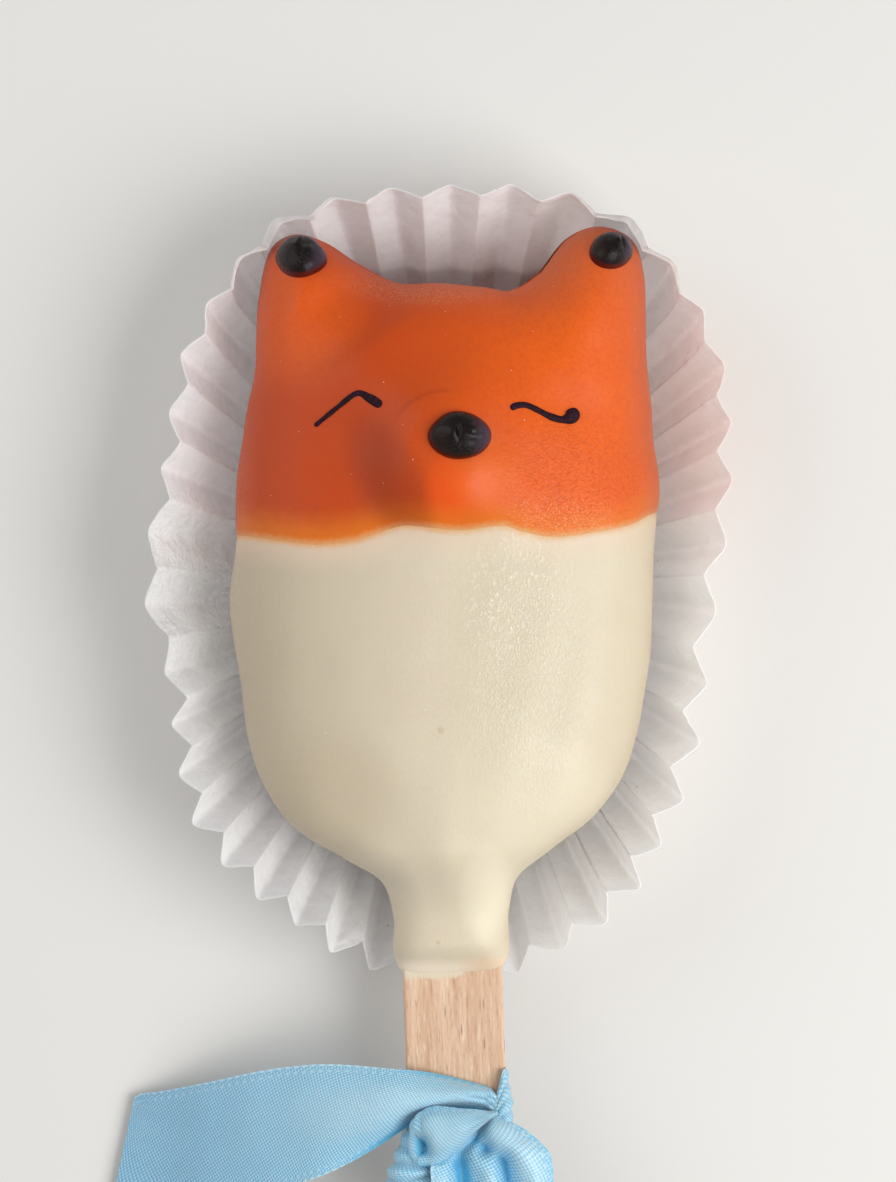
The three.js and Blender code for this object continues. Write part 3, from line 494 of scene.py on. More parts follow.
def coat_rise(above, thickness):
    """How far the orange coat stands off the cake: it thins to nothing at its line and dives under there."""
    return np.where(
        above > 0, thickness * (1 - np.exp(-above / THINS_OVER)), DIVE_SLOPE * np.maximum(above, -DIVE_REACH)
    )


class CakeSurface:
    """The cake's surface in rings from the spine of the back, out to the girth and in over the face."""

    def __init__(self):
        middle = (RIGHT_EDGE[:, 1] + LEFT_EDGE[:, 1]) / 2
        middle = np.concatenate([middle, middle[-2:0:-1]])
        spine = np.column_stack([np.full(len(EDGE), SPINE_X), np.clip(middle, SPINE_FOOT, SPINE_TOP)])
        back_inset = np.linspace(1, 0, BACK_RINGS, endpoint=False) ** RING_CROWDING
        face_inset = np.linspace(0, 1, FACE_RINGS + 1) ** RING_CROWDING
        inset = np.concatenate([back_inset, face_inset])[:, None, None]
        self.on_face = (np.arange(len(inset)) >= BACK_RINGS)[:, None]
        self.plan = EDGE + (spine - EDGE) * inset
        self.x, self.y = self.plan[..., 0], self.plan[..., 1]
        self.distance = np.where(inset[..., 0] > 0, soft_distance(self.x, self.y), 0)
        face, back = face_height(self.x, self.y, self.distance), back_height(self.y, self.distance)
        self.height = np.where(self.on_face, face, back)
        along = unit(np.roll(EDGE, -1, axis=0) - np.roll(EDGE, 1, axis=0))
        self.outwards = np.column_stack([-along[:, 1], along[:, 0]])
        if ((EDGE - EDGE.mean(0)) * self.outwards).sum() < 0:
            self.outwards = -self.outwards
        self.above = above_coat_line(self.x, self.y)

    def moved_out(self, rise):
        """The surface a little outwards: along the outline's normal at the girth, upwards on the flats."""
        neck = neck_share(self.y)
        reach = np.where(self.on_face, face_round(self.y), lerp(BACK_ROUND, NECK_ROUND, neck))
        lean = (1 - np.clip(self.distance / reach, 0, 1)) ** (ROUND_POWER / 2)
        upright = np.sqrt(1 - lean**2) * np.where(self.on_face, 1, -1)
        plan = self.plan + self.outwards * (lean * rise)[..., None]
        return np.dstack([plan, self.height + upright * rise])


def build_cake(sizes, colours):
    """Two pieces: the whole cake in cream, and the orange coat as a thin cap over the head."""
    surface = CakeSurface()
    uneven = COAT_UNEVEN * lumps(3, 7, surface.x, surface.y, surface.height)
    cream = surface.moved_out(uneven - CREAM_SINK * smooth(surface.above, *SINKS_OVER))
    cake = closed_surface(cream, above_line=surface.above)
    make_piece("cream_coating", "body_cream", cream_finish(colours), [cake])
    rise = coat_rise(surface.above, sizes.coat_thickness / MM) + uneven
    outside, inside = surface.moved_out(rise), surface.moved_out(rise - CAP_WALL)
    cap = wall(outside, inside, True, surface.above > -LAP, above_line=surface.above)
    make_piece("orange_coating", "head_orange", orange_finish(colours), [cap])


# Drops, eyes and stick


def on_face(x, y, thickness):
    """Places on the coated face."""
    return np.stack([x, y, face_height(x, y) + coat_rise(above_coat_line(x, y), thickness)], -1)


def face_normal(x, y, step=0.4):
    """Upward normal of the face, from its rise over a step to both sides."""
    slope_x = (face_height(x + step, y) - face_height(x - step, y)) / (2 * step)
    slope_y = (face_height(x, y + step) - face_height(x, y - step)) / (2 * step)
    return unit(np.stack([-slope_x, -slope_y, np.ones(np.shape(x))], -1))


def build_drops(sizes, colours):
    """Chocolate drops: round in plan with an uneven edge, a low dome, and a nib left by the piping.

    In share r of the radius the dome is (1 - r^3)^0.55. On it stand the nib, as a narrow bell with a crease
    beside it, and the nose's bead.
    """
    finish = chocolate_finish(colours)
    angles = np.linspace(0, 2 * np.pi, DROP_STATIONS, endpoint=False)
    share = np.sin(np.linspace(0, np.pi / 2, DROP_RINGS))[:, None]
    dome = (1 - share**3) ** 0.55
    for number, (name, node, at, radii, height, turn, nib_at, nib) in enumerate(DROPS):
        edge = 1 + 0.03 * lumps(20 + number, 1.5, np.cos(angles), np.sin(angles))
        u, v = share * np.cos(angles) * edge, share * np.sin(angles) * edge
        crease_at = (nib_at[0] + CREASE_ASIDE, nib_at[1])
        rise = height * sizes.drop_height * dome + nib * bell(u, v, nib_at, NIB_REACH)
        rise = rise - CREASE_DEPTH * bell(u, v, crease_at, CREASE_REACH)
        if name == "nose_drop":
            rise = rise + BEAD_RISE * bell(u, v, BEAD_AT, BEAD_REACH, 1.5)
        rise = rise + 0.05 * dome * lumps(30 + number, 0.6, u, v)
        x, y = turned(u * radii[0], v * radii[1], turn)
        low = on_face(at[0] + x, at[1] + y, sizes.coat_thickness / MM)
        normal = face_normal(*np.array(at, float))
        grid = np.concatenate([low - normal * DROP_DEPTH, (low + normal * rise[..., None])[::-1]])
        marks = np.dstack([share * np.ones(len(angles)), bell(u, v, GRAIN_AT, GRAIN_REACH), u])
        part = closed_surface(grid, drop=np.concatenate([marks, marks[::-1]]))
        make_piece(name, node, finish, [part])


def build_eyes(sizes, colours):
    """Piped lines: low half-round ridges along a curve on the face, with round ends."""
    finish = line_finish(colours)
    share = np.linspace(0, 1, LINE_STEPS)
    angles = np.linspace(0, 2 * np.pi, LINE_SIDES, endpoint=False)
    for number, (name, node, points, half_widths) in enumerate(EYES):
        middle = curve_through(points, share, even=True)
        along = unit(np.gradient(middle, axis=0))
        run = run_along(middle)
        width = curve_through(np.array(half_widths)[:, None], share, even=True)[:, 0]
        width = width * (1 + 0.07 * lumps(50 + number, 2.2, run))
        from_end = np.clip(np.minimum(run, run[-1] - run) / width, 0, 1)
        width = (width * np.sqrt(1 - (1 - from_end) ** 2))[:, None]
        aside = width * np.cos(angles)
        x = middle[:, :1] - along[:, 1:] * aside
        y = middle[:, 1:] + along[:, :1] * aside
        grid = on_face(x, y, sizes.coat_thickness / MM)
        grid[..., 2] += np.where(np.sin(angles) > 0, LINE_RISE, LINE_SINK) * width * np.sin(angles)
        make_piece(name, node, finish, [closed_surface(grid)])


def build_stick(sizes, colours):
    """Flat wooden stick: rings from the middle line of its back round its filleted edge to that of its face.

    The plan is a strip with round ends, and each ring is that plan shrunk by its inset.
    """
    fillet = sizes.stick_fillet / MM
    half, deep = STICK_WIDTH / 2, STICK_THICKNESS / 2
    turn = np.linspace(0, np.pi / 2, FILLET_RINGS)
    inset = np.concatenate([half * np.array(FLAT_RINGS), fillet * (1 - np.sin(turn))])
    height = np.concatenate([np.full(len(FLAT_RINGS), deep), deep - fillet * (1 - np.cos(turn))])
    inset, height = np.concatenate([inset, inset[::-1]]), np.concatenate([height, -height[::-1]])
    run = STICK_LENGTH - STICK_WIDTH
    top_end = np.linspace(0, np.pi, END_STATIONS)
    low_end = top_end + np.pi
    down = np.linspace(0, 1, SIDE_STATIONS + 2)[1:-1]
    side = np.ones(SIDE_STATIONS)
    plan_x = np.concatenate([np.cos(top_end), -side, np.cos(low_end), side])
    plan_y = np.concatenate([np.sin(top_end), 0 * side, np.sin(low_end), 0 * side])
    centre = np.concatenate([0 * top_end, -run * down, np.full(END_STATIONS, -run), -run * (1 - down)])
    radius = (half - inset)[:, None]
    across, along = radius * plan_x, centre + radius * plan_y
    shift = STICK_INNER_END - half - STICK_CROSSING[1]
    x, y = turned(across, along + shift, STICK_LEAN)
    z = STICK_MIDDLE + height[:, None] + 0 * x
    places = np.dstack([STICK_CROSSING[0] + x, STICK_CROSSING[1] + y, z])
    part = closed_surface(places, grain=np.dstack([across, along, z]))
    make_piece("wooden_stick", "stick", wood_finish(colours), [part], crease=40)


# Paper cup


def around(values, direction):
    """The value in a direction, from values spaced evenly round the circle: a closed curve through them."""
    return curve_through(np.array(values)[:, None], direction / (2 * np.pi), closed=True, even=True)[:, 0]


def rim_plan(direction):
    """The rim's place in a direction, without pleats."""
    reach = around(RIM_REACH, direction)
    return np.stack([reach * np.cos(direction), reach * np.sin(direction)], -1)


def floor_plan(direction):
    """The floor's edge: four quarters of a superellipse, fuller towards the ears."""
    c, s = np.cos(direction), np.sin(direction)
    side = np.where(c > 0, FLOOR_RIGHT, FLOOR_LEFT)
    end = np.where(s > 0, FLOOR_UP, FLOOR_DOWN)
    full = lerp(FLOOR_FULL_DOWN, FLOOR_FULL_UP, smooth(s, -0.3, 0.3))
    reach = (np.abs(c / side) ** full + np.abs(s / end) ** full) ** (-1 / full)
    return np.stack([reach * c, reach * s], -1)


def pleat_direction(number):
    """Direction of the pleat line with the given number, counted in pleats, found by going round."""
    one_pleat = 2 * np.pi / PLEATS
    direction = number * one_pleat
    for _ in range(DIRECTION_ROUNDS):
        direction = (number - around(PLEATS_AHEAD, direction)) * one_pleat
    return direction


def pleat_wave(number):
    """1 on the outer ridges and -1 on the inner folds.

    A triangular wave, leant to one side, with its outer ridges blunted to hyperbolas.
    """
    phase = number + PLEAT_LEAN * np.sin(2 * np.pi * number) / (2 * np.pi)
    from_ridge = np.abs((phase + 0.5) % 1 - 0.5) * 4
    fall = np.hypot(from_ridge, RIDGE_BLUNT) - RIDGE_BLUNT
    return 1 - 2 * fall / (math.hypot(2, RIDGE_BLUNT) - RIDGE_BLUNT)


def rim_height(top):
    """The rim's height: lower where the cake's neck lies over it."""
    beside = np.abs(top[:, 0] - LOW_MIDDLE) - LOW_HALF_WIDTH
    low = lerp(LOW_HEIGHT, CUP_HEIGHT, smooth(beside, 0, LOW_FADE))
    return np.where(top[:, 1] > 0, CUP_HEIGHT, low)


def build_cup(sizes, colours):
    """Pleated cup: every pleat line runs from the floor's edge up and out to the rim.

    Across the pleats the wall swings out and in as their wave does, by a depth that grows from the floor
    to the rim. That is its inner face, and the outer one stands off it by the paper's thickness.
    """
    random = np.random.default_rng(7)
    paper = sizes.paper_thickness / MM
    number = np.arange(PLEATS * STEPS_PER_PLEAT) / STEPS_PER_PLEAT
    pleat = np.round(number).astype(int) % PLEATS
    direction = pleat_direction(number)
    top, base = rim_plan(direction), floor_plan(direction)
    along = unit(rim_plan(direction + SMALL_TURN) - top)
    outwards = np.column_stack([along[:, 1], -along[:, 0]])
    wave = pleat_wave(number)
    depth = sizes.pleat_depth / MM - PLEAT_DEPTH_DROP * np.sin(direction)
    depth = depth * (1 + PLEAT_UNEVEN * random.normal(size=PLEATS))[pleat]
    pressed = np.zeros(len(number))
    for middle, spread, push in EAR_PRESS:
        pressed += push * np.exp(-(((np.degrees(direction) - middle) / spread) ** 2))
    height = rim_height(top) + RIM_UNEVEN * random.normal(size=PLEATS)[pleat]

    up = np.linspace(0, 1, WALL_ROWS)[:, None]
    plan = base + (top - base) * (up**CUP_BOW)[..., None]
    aside = wave * lerp(PLEAT_AT_FLOOR, depth, up**DEEPENING) + pressed * 4 * up * (1 - up)
    x, y = np.moveaxis(plan, -1, 0)
    crumple = 0.1 * lumps(60, 3.2, x, y, up * CUP_HEIGHT) + 0.04 * lumps(61, 1.3, x, y, up * CUP_HEIGHT)
    plan = plan + outwards * (aside + crumple * up)[..., None]
    sides = np.dstack([plan, height * up])
    inwards_share = np.linspace(0, 1, FLOOR_RINGS, endpoint=False)[:, None, None]
    floor = np.dstack([plan[0] * inwards_share, np.zeros((FLOOR_RINGS, len(number)))])

    step_up, step_round = np.gradient(sides, axis=0), np.roll(sides, -1, 1) - np.roll(sides, 1, 1)
    normal = unit(np.cross(step_round, step_up))
    facing = np.sign((normal[..., :2] * outwards).sum(-1, keepdims=True))
    outside = np.concatenate([floor, sides + normal * paper * facing])
    outside[FLOOR_RINGS:, :, 2] = np.maximum(outside[FLOOR_RINGS:, :, 2], 0)
    inside = np.concatenate([floor + [0, 0, paper], sides])
    inside[FLOOR_RINGS:, :, 2] += paper * (1 - up)
    rise = np.concatenate([np.zeros((FLOOR_RINGS, 1)), up]) + 0 * number
    part = wall(outside, inside, True, rise=rise, wave=wave + 0 * rise)
    make_piece("pleated_cup", "paper_cup", paper_finish(colours), [part], crease=70)


# Ribbon


def strand(stations, thickness, start, seed):
    """One stretch of ribbon, as a wall between its two faces, and its length.

    Its middle and its direction across run through the stations' in Catmull-Rom curves. Across it the
    section stands up by the stations' heights, blended along the ribbon and, with the same curve, from
    edge to edge.
    """
    middles, directions, widths, sections = zip(*stations)
    share = np.linspace(0, 1, STEPS_PER_STATION * (len(stations) - 1) + 1)
    middle = curve_through(middles, share)
    along = unit(np.gradient(middle, axis=0))
    across = unit(curve_through(directions, share))
    normal = unit(np.cross(across, along))
    width = curve_through(np.array(widths)[:, None], share, even=True)
    side = np.linspace(-1, 1, STEPS_ACROSS)
    proud = curve_through(curve_through(sections, share, even=True).T, (side + 1) / 2, even=True).T
    run = run_along(middle)
    aside = side * RIBBON_WIDTH / 2
    proud = proud + 0.05 * lumps(seed, 6, run[:, None], aside)
    place = middle[:, None] + across[:, None] * (side * width / 2)[..., None]
    place = place + normal[:, None] * proud[..., None]
    face = unit(np.cross(np.gradient(place, axis=1), np.gradient(place, axis=0))) * thickness / 2
    cloth = np.dstack(np.broadcast_arrays(aside, (start + run)[:, None], proud))
    return wall(place + face, place - face, cloth=cloth), run[-1]


def build_ribbon(sizes, colours):
    """The knotted ribbon: four stretches of one length of satin, joined inside the knot."""
    parts, start = [], 0
    for number, stations in enumerate(STRANDS):
        part, length = strand(stations, sizes.ribbon_thickness / MM, start, 70 + 5 * number)
        part[0][:, 2] = np.maximum(part[0][:, 2], RIBBON_LOWEST)
        parts.append(part)
        start += length
    piece = make_piece("satin_ribbon", "ribbon", satin_finish(colours), parts, crease=50)


# Finishes


class Maths:
    """A node's output. Python's operators on it add Math nodes."""

    def __init__(self, finish, socket):
        self.finish, self.socket = finish, socket

    def reckon(self, operation, *values):
        return self.finish.node("ShaderNodeMath", {"operation": operation}, dict(enumerate(values)))

    def __add__(self, other):
        return self.reckon("ADD", self, other)

    def __sub__(self, other):
        return self.reckon("SUBTRACT", self, other)

    def __rsub__(self, other):
        return self.reckon("SUBTRACT", other, self)

    def __mul__(self, other):
        return self.reckon("MULTIPLY", self, other)

    def __truediv__(self, other):
        return self.reckon("DIVIDE", self, other)

    def __pow__(self, other):
        return self.reckon("POWER", self, other)

    __radd__, __rmul__ = __add__, __mul__

    def __abs__(self):
        return self.reckon("ABSOLUTE", self)

    def wave(self, length):
        """Sine wave of the given length."""
        return self.reckon("SINE", self * (2 * math.pi / length))


class Finish:
    """A material in the making."""

    def __init__(self, name):
        self.material = bpy.data.materials.new(name)
        self.material.use_nodes = True
        self.tree = self.material.node_tree
        self.shader = self.tree.nodes["Principled BSDF"]

    def fill(self, socket, value):
        """Links a node's output to a socket, or sets the socket to a number, colour or vector."""
        if isinstance(value, Maths):
            self.tree.links.new(value.socket, socket)
        else:
            socket.default_value = value

    def node(self, kind, settings=None, sockets=None, output=0):
        """A node of that kind: its settings are set first, then the values or links of its sockets."""
        node = self.tree.nodes.new(kind)
        for name, value in (settings or {}).items():
            setattr(node, name, value)
        for name, value in (sockets or {}).items():
            self.fill(node.inputs[name], value)
        return Maths(self, node.outputs[output])

    def mark(self, name, output="Fac"):
        """The values that a piece keeps on its points: numbers, or vectors where output is "Vector"."""
        return self.node("ShaderNodeAttribute", {"attribute_name": name}, output=output)

    def scaled(self, vector, factors):
        return self.node("ShaderNodeVectorMath", {"operation": "MULTIPLY"}, {0: vector, 1: factors})

    def place(self):
        """The place in the piece's own coordinates, in millimetres."""
        return self.scaled(self.node("ShaderNodeTexCoord", output="Object"), (1 / MM,) * 3)

    def split(self, vector):
        """A vector's three values."""
        first = self.node("ShaderNodeSeparateXYZ", sockets={0: vector})
        return [Maths(self, output) for output in first.socket.node.outputs]

    def noise(self, at, size, detail=2, rough=0.5, twist=0):
        """Soft noise of about the given size, around 0.5."""
        sockets = {"Vector": at, "Scale": 1 / size, "Detail": detail, "Roughness": rough, "Distortion": twist}
        return self.node("ShaderNodeTexNoise", sockets=sockets)

    def cells(self, at, size):
        """Distance to the nearest of points scattered about the given size apart, as a share of it."""
        return self.node("ShaderNodeTexVoronoi", sockets={"Vector": at, "Scale": 1 / size})

    def step(self, value, low, high):
        """0 at low and 1 at high, smoothly."""
        sockets = {"Value": value, "From Min": low, "From Max": high}
        return self.node("ShaderNodeMapRange", {"interpolation_type": "SMOOTHSTEP"}, sockets)

    def fade(self, value, low, high):
        """1 at low and 0 at high, smoothly."""
        return 1 - self.step(value, low, high)

    def patches(self, at, size, low, high, detail=2, rough=0.5):
        """0 where noise of about the given size is low, and 1 where it is high."""
        return self.step(self.noise(at, size, detail, rough), low, high)

    def spot(self, x, y, middle, reach):
        """1 in the middle of a round or oval spot, fading to 0 at its reach."""
        away = ((x - middle[0]) / reach[0]) ** 2 + ((y - middle[1]) / reach[1]) ** 2
        return self.fade(away, 0, 1)

    def laid(self, base, *layers):
        """The base colour with layers over it in turn, each a share that it covers and its colour."""
        colour = (*base, 1)
        for share, over in layers:
            sockets = {0: share, 6: colour, 7: (*over, 1)}
            colour = self.node("ShaderNodeMix", {"data_type": "RGBA"}, sockets, output=2)
        return colour

    def bump(self, height):
        """A bump whose height is in millimetres."""
        return self.node("ShaderNodeBump", sockets={"Height": height, "Distance": MM, "Strength": 1})

    def done(self, **inputs):
        """Fills the shader's sockets, named with _ for spaces, and gives the material."""
        for name, value in inputs.items():
            self.fill(self.shader.inputs[name.replace("_", " ")], value)
        return self.material


def cream_finish(colours):
    """Cream coating: satin, with fine wrinkles and beads of damp on its right, and thin over the stick;
    painted shade darkens its left, lower left and low right flank, and painted highlights and glints pale its
    neck, lower right, the coat's end and the beads.
    """
    f = Finish("cream coating")
    at = f.place()
    x, y, z = f.split(at)
    above = f.mark("above_line")
    fine = f.noise(at, 0.4, 3, 0.7)
    # Painted highlights: the neck's right and the body's lower right made paler where the light falls.
    painted_highlight = f.spot(x, y, (4.2, -31), (3.4, 6)) * 0.7 + f.spot(x, y, (10, -22), (8, 9)) * 0.4
    damp = f.spot(x, y, (9, -9), (8.5, 17)) + 0.4 * f.spot(x, y, (2, -8), (9, 12))
    wet = f.spot(x, y, (6.5, -1), (6, 8)) + 0.3 * damp
    ripple = f.noise(f.scaled(at, (1, 0.65, 1)), 0.26, 2, 0.5, 0.8)
    beads = f.step(ripple, 0.48, 0.66) * f.patches(at, 0.9, 0.3, 0.6) * wet
    spots = f.spot(x, y, (-0.4, -14.4), (0.45, 0.5)) + f.spot(x, y, (-0.7, -35.8), (0.3, 0.3))
    ragged = f.noise(f.scaled(at, (1, 0.2, 1)), 0.5) * 1.6
    bare = f.step(x, 0.6, 4.4) * f.fade(y + ragged, -37.4, -35.9)
    specks = f.fade(f.cells(at, 1.9), 0.02, 0.055) * f.patches(at, 4, 0.4, 0.6)
    base = f.laid(
        colours.cream,
        (f.patches(at, 9, 0.3, 0.7, 3, 0.6) * 0.5, rgb(211, 197, 174)),
        # Painted shade: the left side darker, away from the light.
        (f.fade(x, -19, 1) * 0.9, rgb(190, 176, 152)),
        # Painted shade on the body's lower left.
        (f.spot(x, y, (-11, -21), (9, 8)) * 0.5, rgb(188, 173, 146)),
        (f.step(fine, 0.35, 0.7) * 0.25, rgb(206, 192, 164)),
        (painted_highlight, rgb(242, 232, 208)),
        (f.step(above, -3.4, 0) * 0.6, rgb(230, 200, 178)),
        (f.step(above + f.noise(at, 0.8) * 0.4, -0.5, 0.3), EDGE_OF_COAT),
        (f.step(x + f.noise(at, 2) * 0.6, 0.5, 0.9) * 0.2, rgb(214, 206, 172)),
        # Painted glints: the beads of damp made pale, as if catching the light.
        (beads * 0.4, rgb(255, 246, 230)),
        (spots * 0.3, rgb(180, 144, 92)),
        # Painted light: the coat's steep end on the stick made paler against the shade it lies in.
        (f.fade(y, -38.7, -37.3) * 0.6, rgb(252, 238, 216)),
        (bare * 0.85, rgb(230, 202, 170)),
        # Painted shade on the low right flank.
        (f.fade(z, 11, 19) * f.step(x, 5, 12) * 0.35, rgb(196, 180, 150)),
        (specks * 0.7, rgb(255, 250, 238)),
    )
    height = fine * 0.024 + ripple * (0.004 + 0.07 * damp) + beads * 0.02 + specks * 0.03
    return f.done(
        Base_Color=base, Roughness=0.44 + 0.1 * f.noise(at, 1.4, 3) - 0.12 * damp, Normal=f.bump(height),
        Subsurface_Weight=0.25, Subsurface_Radius=(1, 0.7, 0.4), Subsurface_Scale=0.0016,
        Specular_IOR_Level=0.45,
    )


def orange_finish(colours):
    """Orange coating: satin, wrinkled on its right cheek, thin and yellow at its line, frosted at the top;
    painted light and highlights pale its right, left ear and muzzle, painted shade darkens the muzzle's left,
    the crease along its top and the cheek's wrinkles, and painted reflections tint its low edges.
    """
    f = Finish("orange coating")
    at = f.place()
    x, y, z = f.split(at)
    above = f.mark("above_line")
    # Painted light: the coat's right and its left ear take the lit orange, where the light falls on them.
    painted_light_share = f.step(x, -10, 14) + f.spot(x, y, (-15, 27), (9, 10)) * 0.65
    thin = f.fade(above + f.noise(at, 1.2) * 0.8 - f.fade(x, -9, -3) * 0.5, 0.1, 3.8)
    frosty = f.spot(x, y, (-1, 29.8), (11, 3)) + f.spot(x, y, (-21.5, 10), (3, 9)) * 0.6
    frost = frosty * f.patches(at, 0.22, 0.42, 0.7, 3, 0.7)
    specks = f.fade(f.cells(at, 1.7), 0.02, 0.06) * f.patches(at, 3, 0.4, 0.6)
    from_muzzle = abs(((x - 0.3) ** 2 + (y - 12.5) ** 2) ** 0.5 - 6.1)
    # Painted shade in the crease of the coat that curves over the muzzle's top.
    painted_crease_shade = f.spot(x, y, (-2, 17.4), (4.6, 2.8)) * f.fade(from_muzzle + f.noise(at, 0.8) * 0.3, 0.1, 0.6)
    cheek = f.spot(x, y, (12.5, 10.2), (9.5, 7.5))
    ripple = f.noise(f.scaled(at, (0.6, 1, 1)), 0.26, 2, 0.5, 0.8)
    grains = f.patches(at, 0.17, 0.5, 0.66) * f.spot(x, y, (11, 6), (7, 3.6))
    base = f.laid(
        colours.orange,
        (painted_light_share, colours.orange_painted_light),
        (f.patches(at, 5, 0.3, 0.7, 3, 0.6) * 0.2, rgb(204, 70, 8)),
        (f.patches(at, 0.4, 0.42, 0.7, 3, 0.7) * 0.3, rgb(196, 58, 2)),
        # Painted light on the muzzle's underside, which faces the light.
        (f.spot(x, y, (0.3, 8.4), (2.8, 5)) * 0.6, rgb(246, 86, 4)),
        (thin * 0.75, rgb(228, 122, 24)),
        # Painted highlight on the muzzle's lower right.
        (f.spot(x, y, (4, 10.4), (4.6, 5)) * 0.35, rgb(250, 118, 40)),
        (f.fade(above + f.noise(at, 0.5) * 0.4, -0.1, 1), EDGE_OF_COAT),
        (frost * 0.5, rgb(238, 172, 136)),
        (specks * 0.8, rgb(255, 214, 180)),
        (painted_crease_shade * 0.3, rgb(140, 40, 10)),
        # Painted shade on the muzzle's left flank.
        (f.spot(x + (y - 10) * 0.4, y, (-5.4, 10), (4.4, 8)) * 0.5, rgb(146, 46, 2)),
        # Painted shade in the troughs of the cheek's wrinkles.
        (f.fade(ripple, 0.3, 0.5) * cheek * 0.25, rgb(150, 40, 8)),
        (grains * 0.3, rgb(255, 190, 140)),
        # Painted reflection and shade on the low right edge: darker and pinker.
        (f.fade(z, 11, 19) * f.step(x, 5, 12) * 0.6, rgb(180, 104, 76)),
        # Painted reflection: a pinkish sheen on the low left edge.
        (f.fade(z, 11, 18) * f.fade(x, -12, -5) * 0.3, rgb(190, 100, 78)),
    )
    height = f.noise(at, 0.35, 3, 0.65) * 0.024 + ripple * (0.006 + 0.12 * cheek) + specks * 0.03
    return f.done(
        Base_Color=base, Roughness=0.4 + 0.1 * f.noise(at, 1.2, 3) + 0.15 * frost, Normal=f.bump(height),
        Subsurface_Weight=0.2, Subsurface_Radius=(1, 0.35, 0.15), Subsurface_Scale=0.0015,
        Specular_IOR_Level=0.3,
    )


def chocolate_finish(colours):
    """Dark chocolate: nearly black, crystalline towards its lower side, with a thin red-brown rim, a painted
    violet reflection on its right and a painted highlight on its left.
    """
    f = Finish("dark chocolate")
    at = f.place()
    out, grain, aside = f.split(f.mark("drop", "Vector"))
    skin = f.noise(at, 0.3, 3, 0.6)
    crystals = f.patches(at, 0.16, 0.48, 0.66, 2, 0.6) * (grain * 0.8 + 0.15)
    base = f.laid(
        colours.chocolate,
        # Painted reflection: violet-grey on each drop's right.
        (f.step(aside, 0.2, 1) * 0.7, rgb(76, 62, 80)),
        # Painted highlight: paler brown on each drop's left.
        (f.fade(aside, -0.7, -0.1) * 0.45, rgb(36, 22, 18)),
        (crystals * 0.7, rgb(60, 50, 46)),
        (f.step(out, 0.9, 0.99), rgb(84, 16, 6)),
    )
    return f.done(
        Base_Color=base, Roughness=0.18 + 0.22 * skin, Normal=f.bump(skin * 0.03 + crystals * 0.02),
        Specular_IOR_Level=0.2,
    )


def line_finish(colours):
    """Piped line: matt purple-black with a faint grain."""
    f = Finish("dark line")
    grain = f.noise(f.place(), 0.25, 3, 0.6)
    base = f.laid(colours.line, (f.step(grain, 0.45, 0.75), rgb(62, 26, 44)))
    return f.done(
        Base_Color=base, Roughness=0.55 + 0.2 * grain, Normal=f.bump(grain * 0.08), Specular_IOR_Level=0.15,
    )


def wood_finish(colours):
    """Birch stick: fine long grain, small dark pores, and a film of cream where the coat runs out on it."""
    f = Finish("birch wood")
    at, grain = f.place(), f.mark("grain", "Vector")
    x, y, _ = f.split(at)
    broad = f.noise(f.scaled(grain, (1, 0.03, 1)), 0.8, 3, 0.5)
    fine = f.noise(f.scaled(grain, (1, 0.1, 1)), 0.22, 3, 0.65)
    pores = f.fade(f.cells(f.scaled(grain, (1, 0.14, 1)), 0.8), 0.06, 0.18)
    ragged = f.noise(at, 2.4) * 1.6 + f.noise(f.scaled(grain, (1, 0.2, 1)), 0.5) * 0.7
    film = f.step(y + ragged - f.step(x, 0.2, 4.6) * 1.5, -38.9, -38.3)
    base = f.laid(
        colours.wood,
        (f.step(broad, 0.35, 0.65), rgb(211, 173, 143)),
        (f.step(fine, 0.5, 0.72) * 0.6, rgb(176, 130, 98)),
        (f.fade(fine, 0.3, 0.45) * 0.5, rgb(246, 222, 198)),
        (pores * 0.55, rgb(116, 74, 50)),
        (film * 0.92, colours.cream),
    )
    height = fine * 0.05 + broad * 0.03 - pores * 0.05
    return f.done(
        Base_Color=base, Roughness=0.55 + 0.2 * fine, Normal=f.bump(height), Specular_IOR_Level=0.35,
    )


